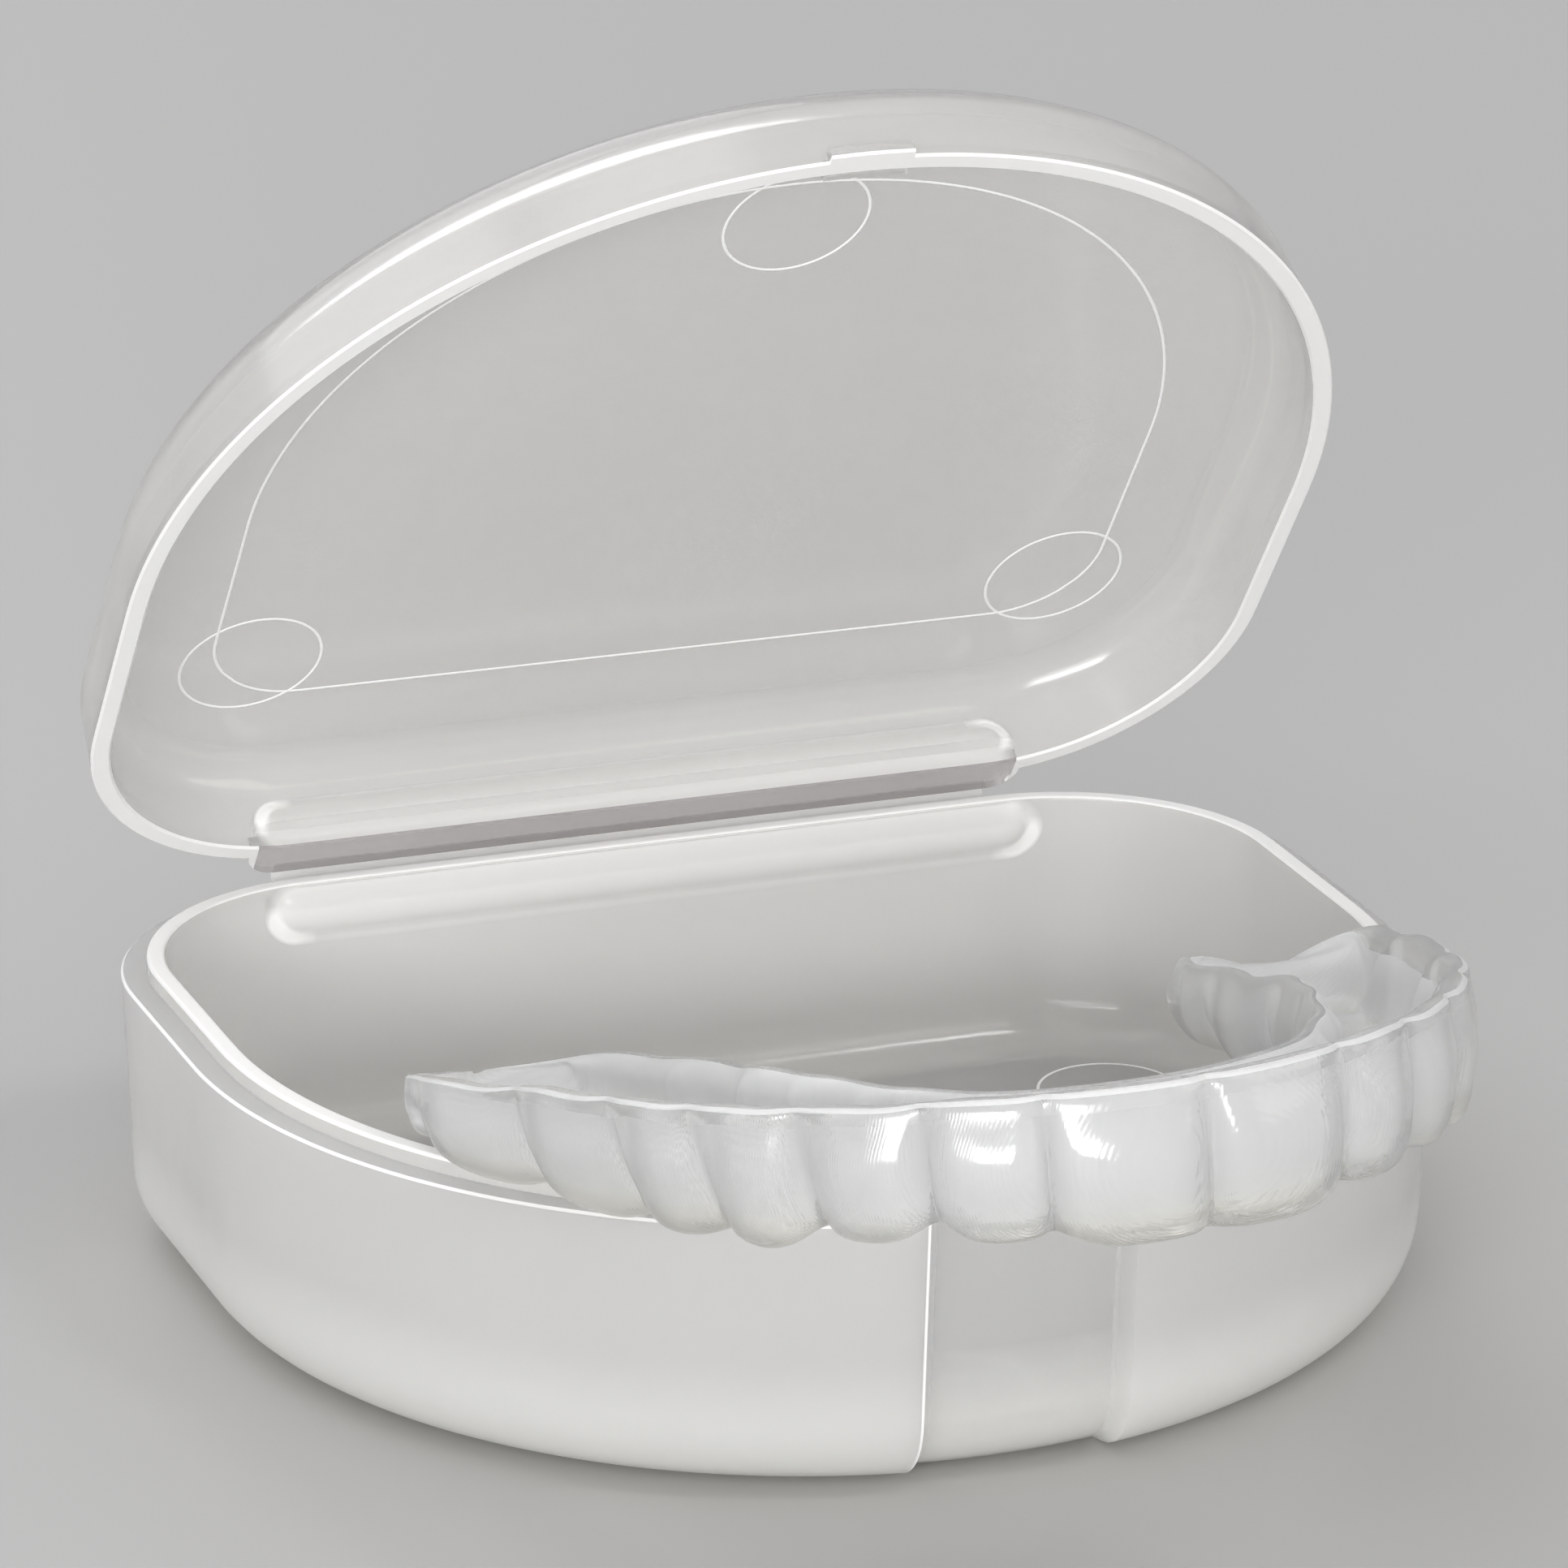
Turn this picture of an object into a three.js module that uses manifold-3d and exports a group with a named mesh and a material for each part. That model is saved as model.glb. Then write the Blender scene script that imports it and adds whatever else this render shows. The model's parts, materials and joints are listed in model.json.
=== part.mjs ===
// Mouthguard lying across the rim of its open case.
//
// The case is one polypropylene moulding: a D-shaped base and a shallow lid joined by a thin web
// behind the back wall. The guard is a clear tray shaped to an upper row of teeth.
// Millimetres, +Z up, -Y is the front of the case, X runs along the hinge.
// The origin is the middle of the base's flat underside.

import * as THREE from 'three';
import Module from 'manifold-3d';
import { mergeVertices } from 'three/addons/utils/BufferGeometryUtils.js';

const wasm = await Module();
wasm.setup();

// Case outline, seen from above at the ledge
const case_width = 80;
const case_depth = 68;
const front_reach = 39;
const back_corner_radius = 16;

// Base
const base_height = 18;
const base_draft = 0.6;
const base_foot_radius = 5;
const floor_thickness = 2;
const base_inner_radius = 3.5;
const base_inner_draft = 0.4;
const ledge_width = 1.65;
const lip_height = 1.05;
const lip_thickness = 1.15;
const lip_edge_break = 0.2;

// Thumb recess in the front of the base
const recess_width = 12.8;
const recess_depth = 1.3;

// Lid
const lid_depth = 7.2;
const lid_rim_width = 1.3;
const lid_plate_thickness = 1.3;
const lid_edge_radius = 3.2;
const lid_inner_radius = 2.4;
const lid_draft = 0.4;

// Catch at the front of the lid, and the notch for it in the base's lip
const catch_width = 5.4;
const catch_height = 0.6;
const catch_reach = 0.6;
const catch_clearance = 0.3;
const catch_lift = 0.15;
const lift_bead_reach = 0.5;
const lift_bead_height = 0.8;

// Living hinge
const hinge_length = 54;
const hinge_offset = 1.9;
const hinge_corner_radius = 2;
const flange_thickness = 0.9;
const lid_flange_thickness = 1.4;
const web_thickness = 0.3;
const web_radius = 0.45;
const web_clearance = 0.3;
const base_cove_radius = 2.2;
const lid_cove_radius = 1.6;
const lid_cove_outset = 0.5;
const lid_lip_clearance = 0.15;
const cove_wall = 1.2;
const cove_end_length = 2.4;
const lid_open_angle = 54;

// Guard: its arch and walls, and how far each arm reaches round the arch from the middle of the front
const arch_half_width = 31.9;
const arch_depth = 44.4;
const guard_height = 8.4;
const guard_across = 14.2;
const guard_wall = 1.7;
const guard_rim_thickness = 1.3;
const guard_floor_thickness = 2;
const guard_end_length = 4.2;
const guard_end_height = 1.8;
const groove_depth = 0.8;
const groove_width = 1.1;
const notch_width = 1.8;
const middle_notch = -0.7;
const tooth_bulge = 0.5;
const edge_inset = 2.1;

// The guard's two arms: how far each reaches round the arch, the length over which its underside
// curves up to the end, how far the end wall dips between its corners, and the share of its height
// that the inner wall keeps at the end
const left_arm = { reach: 63, heel_length: 10, end_dip: 0.4, inner_end_share: 0.4 };
const right_arm = { reach: 57.5, heel_length: 5, end_dip: 2.4, inner_end_share: 1 };
const inner_fall_length = 10;

// Guard: how it lies on the base's lip, with the middle of its front out past the case
const guard_shift = 0.2;
const guard_overhang = 25.6;
const guard_rest_clearance = 0.35;
const guard_yaw = 1.8;
const guard_pitch = -9.1;
const guard_roll = -1.6;

// Teeth from the middle of the arch to its end, in shares. `end` is where the outer face of the
// tooth ends, across and back from the middle of the front, as shares of the arch. `across` is the
// tray's width there, as a share of the guard's. The rest are shares of the guard's height: the
// biting edge, the notch at the tooth's end, both walls, the hollow between the cusps, how far the
// outer face leans out at the top, and how far its grooves slant along the arch.
const teeth_shares = [
  { name: 'central', end: [0.2962, 0.0428], across: 0.521, edge: -0.101, notch: 0.018,
    outer: 1, inner: 0.87, fossa: 0, lean: 0, slant: 0 },
  { name: 'lateral', end: [0.4859, 0.1273], across: 0.521, edge: -0.012, notch: 0.107,
    outer: 0.99, inner: 0.87, fossa: 0, lean: 0, slant: 0.02 },
  { name: 'canine', end: [0.6505, 0.2489], across: 0.606, edge: -0.018, notch: 0.048,
    outer: 0.94, inner: 0.865, fossa: 0.02, lean: 0.05, slant: 0.08 },
  { name: 'first_premolar', end: [0.7712, 0.3863], across: 0.718, edge: -0.107, notch: -0.036,
    outer: 0.9, inner: 0.86, fossa: 0.12, lean: 0.1, slant: 0.12 },
  { name: 'second_premolar', end: [0.848, 0.5315], across: 0.789, edge: -0.095, notch: -0.036,
    outer: 0.86, inner: 0.83, fossa: 0.14, lean: 0.15, slant: 0.17 },
  { name: 'first_molar', end: [0.9185, 0.7568], across: 0.915, edge: -0.095, notch: -0.012,
    outer: 0.79, inner: 0.71, fossa: 0.16, lean: 0.17, slant: 0.16 },
  { name: 'second_molar', end: [1, 1], across: 1, edge: -0.054, notch: 0,
    outer: 0.64, inner: 0.55, fossa: 0.12, lean: 0.08, slant: 0.04 },
];

// How finely the curves are cut
const front_steps = 40;
const corner_steps = 8;
const side_steps = 3;
const fillet_steps = 5;
const cove_steps = 20;
const cove_end_steps = 5;
const web_steps = 8;
const stations_per_tooth = 6;
const arch_samples = 560;
const heel_steps = 6;
const end_closing_shares = [1, 0.985, 0.95, 0.88, 0.78, 0.65, 0.5, 0.34, 0.18];

// One overrun for every cut and join
const overrun = 1;

const half_depth = case_depth / 2;
const hinge_y = half_depth + hinge_offset;
const flange_edge_y = hinge_y - web_radius - web_thickness / 2 - web_clearance;
const base_wall = ledge_width + lip_thickness;
const radians = THREE.MathUtils.degToRad;

// A smaller or larger copy of the case outline: the driving outline moved inwards by `inset`,
// anticlockwise from the left end of the front curve.
function caseOutline(inset) {
  const half_width = case_width / 2 - inset;
  const reach = front_reach - inset;
  const front_centre_y = front_reach - half_depth;
  const back_y = half_depth - inset;
  const radius = back_corner_radius - inset;
  const points = [];
  for (let i = 0; i <= front_steps; i++) {
    const angle = Math.PI * (1 + i / front_steps);
    points.push([half_width * Math.cos(angle), front_centre_y + reach * Math.sin(angle)]);
  }
  const side_top = back_y - radius;
  const side = (x, from, to) => {
    for (let i = 1; i < side_steps; i++) points.push([x, from + (to - from) * i / side_steps]);
  };
  const corner = (x, start) => {
    for (let i = 0; i <= corner_steps; i++) {
      const angle = start + Math.PI / 2 * i / corner_steps;
      points.push([x + radius * Math.cos(angle), side_top + radius * Math.sin(angle)]);
    }
  };
  side(half_width, front_centre_y, side_top);
  corner(half_width - radius, 0);
  corner(radius - half_width, Math.PI / 2);
  side(-half_width, side_top, front_centre_y);
  return points;
}

// A closed geometry through rings of equal count, each a loop of [x, y, z], with its ends closed
// by fans about their middles.
function loft(rings) {
  const count = rings[0].length;
  const positions = rings.flat(2);
  const index = [];
  for (let r = 0; r + 1 < rings.length; r++) {
    for (let i = 0; i < count; i++) {
      const j = (i + 1) % count;
      const low = r * count;
      const high = low + count;
      index.push(low + i, low + j, high + j, low + i, high + j, high + i);
    }
  }
  const cap = (ring, first, flip) => {
    const middle = positions.length / 3;
    for (let axis = 0; axis < 3; axis++) {
      positions.push(ring.reduce((sum, point) => sum + point[axis], 0) / count);
    }
    for (let i = 0; i < count; i++) {
      const j = (i + 1) % count;
      index.push(middle, first + (flip ? j : i), first + (flip ? i : j));
    }
  };
  cap(rings[0], 0, true);
  cap(rings[rings.length - 1], (rings.length - 1) * count, false);
  const geometry = new THREE.BufferGeometry();
  geometry.setAttribute('position', new THREE.Float32BufferAttribute(positions, 3));
  geometry.setIndex(index);
  return geometry;
}

function toSolid(geometry) {
  geometry.deleteAttribute('normal');
  geometry.deleteAttribute('uv');
  const merged = mergeVertices(geometry);
  return new wasm.Manifold(new wasm.Mesh({
    numProp: 3,
    vertProperties: new Float32Array(merged.attributes.position.array),
    triVerts: new Uint32Array(merged.index.array),
  }));
}

function toGeometry(solid) {
  const mesh = solid.getMesh();
  const geometry = new THREE.BufferGeometry();
  geometry.setAttribute('position', new THREE.Float32BufferAttribute(mesh.vertProperties, 3));
  geometry.setIndex(Array.from(mesh.triVerts));
  geometry.computeVertexNormals();
  return geometry;
}

// The solid between levels, each an inset of the case outline at a height
function stack(levels, shift_y) {
  const ring = (level) => caseOutline(level.inset).map(([x, y]) => [x, y + shift_y, level.z]);
  return toSolid(loft(levels.map(ring)));
}

// Levels round a rounded edge: from the flat at height `from_z`, inset by the radius more than the
// wall, to the wall at one radius from it. `way` is 1 where the wall goes up and -1 where it goes down.
function roundedEdge(from_z, radius, wall_inset, way) {
  const levels = [];
  for (let i = 0; i <= fillet_steps; i++) {
    const angle = Math.PI / 2 * i / fillet_steps;
    levels.push({
      z: from_z + way * radius * (1 - Math.cos(angle)),
      inset: wall_inset + radius * (1 - Math.sin(angle)),
    });
  }
  return levels;
}

function box(low, high) {
  const size = high.map((value, axis) => value - low[axis]);
  const geometry = new THREE.BoxGeometry(...size);
  geometry.translate(...low.map((value, axis) => value + size[axis] / 2));
  return toSolid(geometry);
}

// A round bar along X with rounded ends, by the hinge wall
function coveBar(radius, axis_y, axis_z, extra) {
  const rings = [];
  const half = hinge_length / 2 + extra;
  const end = cove_end_length + extra;
  const full_radius = radius + extra;
  const ring = (x, size) => {
    const loop = [];
    for (let i = 0; i < cove_steps; i++) {
      const angle = Math.PI * 2 * i / cove_steps;
      loop.push([x, axis_y + size * Math.cos(angle), axis_z + size * Math.sin(angle)]);
    }
    rings.push(loop);
  };
  for (let i = 1; i <= cove_end_steps; i++) {
    const angle = Math.PI / 2 * i / cove_end_steps;
    ring(-half + end * (1 - Math.cos(angle)), full_radius * Math.sin(angle));
  }
  for (let i = cove_end_steps; i >= 1; i--) {
    const angle = Math.PI / 2 * i / cove_end_steps;
    ring(half - end * (1 - Math.cos(angle)), full_radius * Math.sin(angle));
  }
  return toSolid(loft(rings));
}

// The flat flange that reaches back to the web, with round corners in plan
function flange(front_y, back_y, low_z, thickness) {
  const half = hinge_length / 2;
  const shape = new THREE.Shape();
  shape.moveTo(-half, front_y);
  shape.lineTo(half, front_y);
  shape.lineTo(half, back_y - hinge_corner_radius);
  shape.absarc(half - hinge_corner_radius, back_y - hinge_corner_radius, hinge_corner_radius,
    0, Math.PI / 2, false);
  shape.absarc(hinge_corner_radius - half, back_y - hinge_corner_radius, hinge_corner_radius,
    Math.PI / 2, Math.PI, false);
  const geometry = new THREE.ExtrudeGeometry(shape, {
    depth: thickness, bevelEnabled: false, curveSegments: corner_steps,
  });
  geometry.translate(0, 0, low_z);
  return toSolid(geometry);
}

// Base: a drafted tub with a ledge for the lid's rim and a lip that the lid slips over
function caseBase() {
  const wall_top = base_height + lip_height;
  const outer = stack([
    ...roundedEdge(0, base_foot_radius, base_draft, 1),
    { z: base_height, inset: 0 },
    { z: base_height, inset: ledge_width },
    { z: wall_top - lip_edge_break, inset: ledge_width },
    { z: wall_top, inset: ledge_width + lip_edge_break },
  ], 0);
  const hollow = stack([
    ...roundedEdge(floor_thickness, base_inner_radius, base_wall + base_inner_draft, 1),
    { z: wall_top - lip_edge_break, inset: base_wall },
    { z: wall_top, inset: base_wall - lip_edge_break },
    { z: wall_top + overrun, inset: base_wall - lip_edge_break },
  ], 0);
  const cove_z = base_height - flange_thickness;
  const cove = coveBar(base_cove_radius, half_depth, cove_z, 0)
    .subtract(box([-case_width, 0, cove_z], [case_width, case_depth, case_depth]));
  const bulge = coveBar(base_cove_radius, half_depth, cove_z, cove_wall);
  const inner_hollow = hollow.subtract(bulge);
  const shelf = flange(half_depth - ledge_width, flange_edge_y,
    base_height - flange_thickness, flange_thickness);
  return outer.subtract(inner_hollow).subtract(cove).add(shelf)
    .subtract(thumbRecess()).subtract(catchNotch());
}

// The recess takes a shallow, even bite out of the front wall, from the ledge down to the foot
function thumbRecess() {
  const bite = box(
    [-recess_width / 2, -half_depth - overrun, -overrun],
    [recess_width / 2, -half_depth / 2, base_height + overrun],
  );
  const kept = stack([
    { z: -overrun, inset: base_draft + recess_depth + base_foot_radius },
    ...roundedEdge(0, base_foot_radius, base_draft + recess_depth, 1),
    { z: base_height, inset: recess_depth },
    { z: base_height + lip_height + overrun, inset: recess_depth },
  ], 0);
  return bite.subtract(kept);
}

function catchNotch() {
  const half = catch_width / 2 + catch_clearance;
  const depth = lid_rim_width + catch_reach + catch_clearance;
  return box(
    [-half, -half_depth + recess_depth, base_height],
    [half, -half_depth + depth, base_height + catch_lift + catch_height + catch_lift],
  );
}

// Lid: a shallow tray, drawn closed with its rim at height 0 and the hinge line as its origin
function caseLid() {
  const shift = -hinge_y;
  const plate = lid_depth - lid_plate_thickness;
  const outer = stack([
    { z: 0, inset: 0 },
    ...roundedEdge(lid_depth, lid_edge_radius, lid_draft, -1).reverse(),
  ], shift);
  const hollow = stack([
    { z: -overrun, inset: lid_rim_width },
    { z: 0, inset: lid_rim_width },
    ...roundedEdge(plate, lid_inner_radius, lid_rim_width + lid_draft, -1).reverse(),
  ], shift);
  const cove_y = half_depth + lid_cove_outset + shift;
  const cove_z = lid_flange_thickness;
  const below = (z) => box([-case_width, -case_depth, -case_width], [case_width, case_depth, z]);
  const cove = coveBar(lid_cove_radius, cove_y, cove_z, 0).subtract(below(cove_z));
  const bulge = coveBar(lid_cove_radius, cove_y, cove_z, cove_wall)
    .subtract(below(lip_height + lid_lip_clearance));
  const shelf = flange(half_depth - lid_rim_width + shift, flange_edge_y + shift,
    0, lid_flange_thickness);
  return outer.subtract(hollow.subtract(bulge)).subtract(cove).add(shelf)
    .add(catchNub(shift)).add(liftBead(shift));
}

function catchNub(shift) {
  const inner_face = -half_depth + lid_rim_width + shift;
  return box(
    [-catch_width / 2, inner_face - lid_rim_width / 2, catch_lift],
    [catch_width / 2, inner_face + catch_reach, catch_lift + catch_height],
  );
}

function liftBead(shift) {
  const outer_face = -half_depth + shift;
  return box(
    [-catch_width / 2, outer_face - lift_bead_reach, 0],
    [catch_width / 2, outer_face + lid_rim_width / 2, lift_bead_height],
  );
}

// Web: a thin strip that bends round the hinge line, with a short straight run towards each flange
function hingeWeb() {
  const start = -Math.PI / 2;
  const turn = Math.PI - radians(lid_open_angle);
  const straight = hinge_y - flange_edge_y - web_clearance;
  const half = hinge_length / 2 - hinge_corner_radius;
  const outside = web_radius + web_thickness / 2;
  const inside = web_radius - web_thickness / 2;
  // The strip's cross-section at an angle round the hinge line, then a run straight on from there
  const section = (angle, run) => {
    const corner = (x, radius) => [
      x,
      hinge_y + radius * Math.cos(angle) - run * Math.sin(angle),
      base_height + radius * Math.sin(angle) + run * Math.cos(angle),
    ];
    return [
      corner(half, outside), corner(-half, outside), corner(-half, inside), corner(half, inside),
    ];
  };
  const rings = [section(start, -straight)];
  for (let i = 0; i <= web_steps; i++) rings.push(section(start + turn * i / web_steps, 0));
  rings.push(section(start + turn, straight));
  return toSolid(loft(rings));
}

// The same teeth in real sizes
const teeth = teeth_shares.map((share) => ({
  end: [arch_half_width * share.end[0], arch_depth * share.end[1]],
  across: guard_across * share.across,
  edge: guard_height * share.edge,
  notch: guard_height * share.notch,
  outer_top: guard_height * share.outer,
  inner_top: guard_height * share.inner,
  fossa: guard_height * share.fossa,
  lean: guard_height * share.lean,
  slant: guard_height * share.slant,
}));

// The line of the guard's outer face, through the ends of all the teeth
const arch = new THREE.CatmullRomCurve3([
  ...teeth.map(({ end: [x, y] }) => new THREE.Vector3(-x, y, 0)).reverse(),
  new THREE.Vector3(0, 0, 0),
  ...teeth.map(({ end: [x, y] }) => new THREE.Vector3(x, y, 0)),
], false, 'centripetal');
arch.arcLengthDivisions = arch_samples;

const half_arch = arch.getLength() / 2;

// Arc lengths at which the teeth end, counted from the middle of the front
const tooth_ends = teeth.map((tooth, i) => {
  const lengths = arch.getLengths();
  const knot = (teeth.length + 1 + i) / (2 * teeth.length);
  return lengths[Math.round(knot * arch_samples)] - half_arch;
});

// The place and outward direction at arc length s, negative on the left; past the arch's ends it
// runs straight on
function archPlace(s) {
  const share = Math.min(Math.max((s + half_arch) / (half_arch * 2), 0), 1);
  const place = arch.getPointAt(share);
  const tangent = arch.getTangentAt(share);
  const past = s - (share * 2 - 1) * half_arch;
  place.addScaledVector(tangent, past);
  return { x: place.x, y: place.y, out_x: tangent.y, out_y: -tangent.x };
}

// Smooth blend of a tooth value along the arch, between the middles of neighbouring teeth
function toothValue(key, reach) {
  const middles = tooth_ends.map((end, i) => (end + (tooth_ends[i - 1] ?? 0)) / 2);
  const after = middles.findIndex((middle) => reach < middle);
  if (after === 0) return teeth[0][key];
  if (after < 0) return teeth[teeth.length - 1][key];
  const share = (reach - middles[after - 1]) / (middles[after] - middles[after - 1]);
  const eased = (1 - Math.cos(Math.PI * share)) / 2;
  return teeth[after - 1][key] + (teeth[after][key] - teeth[after - 1][key]) * eased;
}

// Distance from the nearest boundary between teeth, that boundary's notch, and how far through its
// tooth a place is
function toothPhase(reach) {
  const last = teeth.length - 1;
  const found = tooth_ends.findIndex((end) => reach <= end);
  const at = found < 0 ? last : found;
  const start = at === 0 ? 0 : tooth_ends[at - 1];
  const before = reach - start;
  const after = at === last ? half_arch : tooth_ends[at] - reach;
  const share = Math.min(before / (tooth_ends[at] - start), 1);
  if (after < before) return { gap: after, notch: teeth[at].notch, share };
  return { gap: before, notch: at === 0 ? middle_notch : teeth[at - 1].notch, share };
}

// Cross-section of the tray at arc length s, as [out, z] from the outer face's own line.
// It runs down the outer face, under the cusps, up the inner face and back through the channel.
function guardSection(s) {
  const reach = Math.abs(s);
  const arm = s < 0 ? left_arm : right_arm;
  const to_end = arm.reach - reach;
  const into_end = Math.max(1 - to_end / guard_end_length, 0);
  const into_heel = Math.max(1 - to_end / arm.heel_length, 0);
  const closing = Math.cbrt(1 - into_end ** 3);
  const corner = Math.sin(Math.PI / 2 * closing);
  const across = toothValue('across', reach);

  // The outer face at a share of its height: bulging with the tooth, or cut by a slanting groove
  const slant = toothValue('slant', reach);
  const phase = (part) => toothPhase(reach + slant * (0.5 - part));
  const groove = (part) => Math.exp(-((phase(part).gap / groove_width) ** 2));
  const bulge = (part) => closing * (
    tooth_bulge * Math.sin(Math.PI * phase(part).share) - groove_depth * groove(part));
  const lean = (part) => toothValue('lean', reach) * closing * (part - 0.5);
  const inner_bulge = bulge(0.5);

  // Both walls come down to the dip in the end wall, and the underside curves up under it
  const fall = 1 - Math.sin(Math.PI / 2 * Math.min(to_end / inner_fall_length, 1));
  const outer_full = toothValue('outer_top', reach);
  const inner_full = toothValue('inner_top', reach) * (1 - (1 - arm.inner_end_share) * fall);
  const end_top = (outer_full + inner_full) / 2 - arm.end_dip;
  const edge = toothValue('edge', reach);
  const notch = (phase(0).notch - edge) * Math.exp(-((phase(0).gap / notch_width) ** 2));
  const heel = 1 - Math.sqrt(1 - into_heel ** 2);
  const bottom = edge + notch + (end_top - guard_end_height - edge - notch) * heel;
  const least_top = bottom + guard_end_height * 0.8;
  const outer_top = Math.max(end_top + (outer_full - end_top) * corner, least_top);
  const inner_top = Math.max(end_top + (inner_full - end_top) * corner, least_top);
  const shallow = Math.min(outer_top, inner_top) - guard_end_height / 3;
  const floor = to_end < guard_end_length / 2
    ? shallow
    : Math.min(bottom + guard_floor_thickness, shallow);
  const fossa = toothValue('fossa', reach) * (1 - groove(0)) * closing;

  const rise = (top, part) => bottom + (top - bottom) * part;
  const channel = (top, part) => floor + (top - floor) * part;
  const outer = (part, inset, bulging) => [
    bulge(part) * bulging + lean(part) - inset, rise(outer_top, part),
  ];
  const wall = guard_wall;
  const rim = guard_rim_thickness;
  const points = [
    outer(1, wall / 2, 0.33),
    outer(0.86, wall / 5, 0.5),
    outer(0.58, 0, 1),
    outer(0.32, wall / 12, 1),
    outer(0.13, wall / 4, 1),
    outer(0.03, wall * 0.6, 1),
    outer(0, edge_inset, 0.5),
    [-across / 2, bottom + fossa],
    [edge_inset - across - inner_bulge / 4, bottom + wall / 8],
    [wall * 0.75 - across - inner_bulge / 2, rise(inner_top, 0.08)],
    [wall / 4 - across - inner_bulge / 2, rise(inner_top, 0.3)],
    [-across - inner_bulge / 3, rise(inner_top, 0.6)],
    [wall / 4 - across, rise(inner_top, 0.88)],
    [wall / 2 - across, inner_top],
    [wall / 2 + rim / 2 - across, inner_top],
    [wall / 2 + rim - across, channel(inner_top, 0.8)],
    [wall * 1.25 - across, channel(inner_top, 0.35)],
    [wall * 1.6 - across, floor],
    [-across / 2, channel(inner_top, 0.04)],
    [lean(0) - wall * 1.6, floor],
    [lean(0.35) + bulge(0.35) / 3 - wall * 1.25, channel(outer_top, 0.35)],
    [lean(0.8) - wall / 2 - rim, channel(outer_top, 0.8)],
    [lean(1) - wall / 2 - rim / 2, outer_top],
  ];
  const centre = -across / 2;
  return points.map(([out, z]) => [centre + (out - centre) * closing, z]);
}

// Arc lengths at which one arm is cut: closer together by each boundary and at the arm's end
function armStations(arm) {
  const stations = [];
  let start = 0;
  for (const end of tooth_ends) {
    for (let i = 0; i < stations_per_tooth; i++) {
      const even = (i + 0.5) / stations_per_tooth;
      const eased = even - Math.sin(Math.PI * 2 * even) / (Math.PI * 3);
      stations.push(start + (end - start) * eased);
    }
    start = end;
  }
  const heel_start = arm.reach - Math.max(arm.heel_length, guard_end_length);
  const end_start = arm.reach - guard_end_length;
  const open = stations.filter((s) => s < heel_start);
  const heel = [];
  for (let i = 0; i < heel_steps; i++) {
    heel.push(heel_start + (end_start - heel_start) * i / heel_steps);
  }
  const closed = end_closing_shares.map(
    (closing) => end_start + guard_end_length * Math.cbrt(1 - closing ** 3));
  return [...open, ...heel, ...closed];
}

// The tray, turned as it lies and let down until its underside is just clear of the base's lip
function mouthguard() {
  const left = armStations(left_arm).map((s) => -s).reverse();
  const rings = [...left, 0, ...armStations(right_arm)].map((s) => {
    const place = archPlace(s);
    return guardSection(s).map(([out, z]) => [
      place.x + place.out_x * out, place.y + place.out_y * out, z,
    ]);
  });
  const turn = new THREE.Matrix4().makeRotationFromEuler(
    new THREE.Euler(radians(guard_pitch), radians(guard_roll), radians(guard_yaw), 'ZXY'),
  );
  const turned = toSolid(loft(rings).applyMatrix4(turn))
    .translate([guard_shift, -half_depth - guard_overhang, 0]);
  return turned.translate([0, 0, restHeight(turned)]);
}

// How far a solid has to rise for the part of it that is over the lip to clear the lip
function restHeight(solid) {
  const column = (inset) => stack([
    { z: -case_width, inset },
    { z: case_width, inset },
  ], 0);
  const over_lip = solid.intersect(column(ledge_width).subtract(column(base_wall)));
  return base_height + lip_height + guard_rest_clearance - over_lip.boundingBox().min[2];
}

function piece(name, solid, material) {
  const mesh = new THREE.Mesh(toGeometry(solid), material);
  mesh.name = name;
  return mesh;
}

function plastic(color, roughness) {
  return new THREE.MeshStandardMaterial({ color, roughness, metalness: 0 });
}

const object = new THREE.Group();
object.add(piece('case_base', caseBase(), plastic(0xdcdad4, 0.45)));
object.add(piece('hinge_web', hingeWeb(), plastic(0xe4e2dc, 0.4)));

const lid_turn = new THREE.Group();
lid_turn.position.set(0, hinge_y, base_height);
lid_turn.rotation.x = -radians(lid_open_angle);
lid_turn.add(piece('case_lid', caseLid(), plastic(0xe0ddd6, 0.35)));
object.add(lid_turn);

object.add(piece('mouthguard', mouthguard(), plastic(0xe6e9e8, 0.2)));

export default object;
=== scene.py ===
"""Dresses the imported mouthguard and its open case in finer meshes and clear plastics.

The case is one milky polypropylene moulding with a living hinge, and the guard is a clear tray for
the upper teeth. Sizes are in millimetres and turn into metres when a mesh or a material is made. The
floor and the lamps are in metres.
"""

import json
import math

import bmesh
import bpy
import numpy as np
from mathutils import Matrix, Vector


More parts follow.
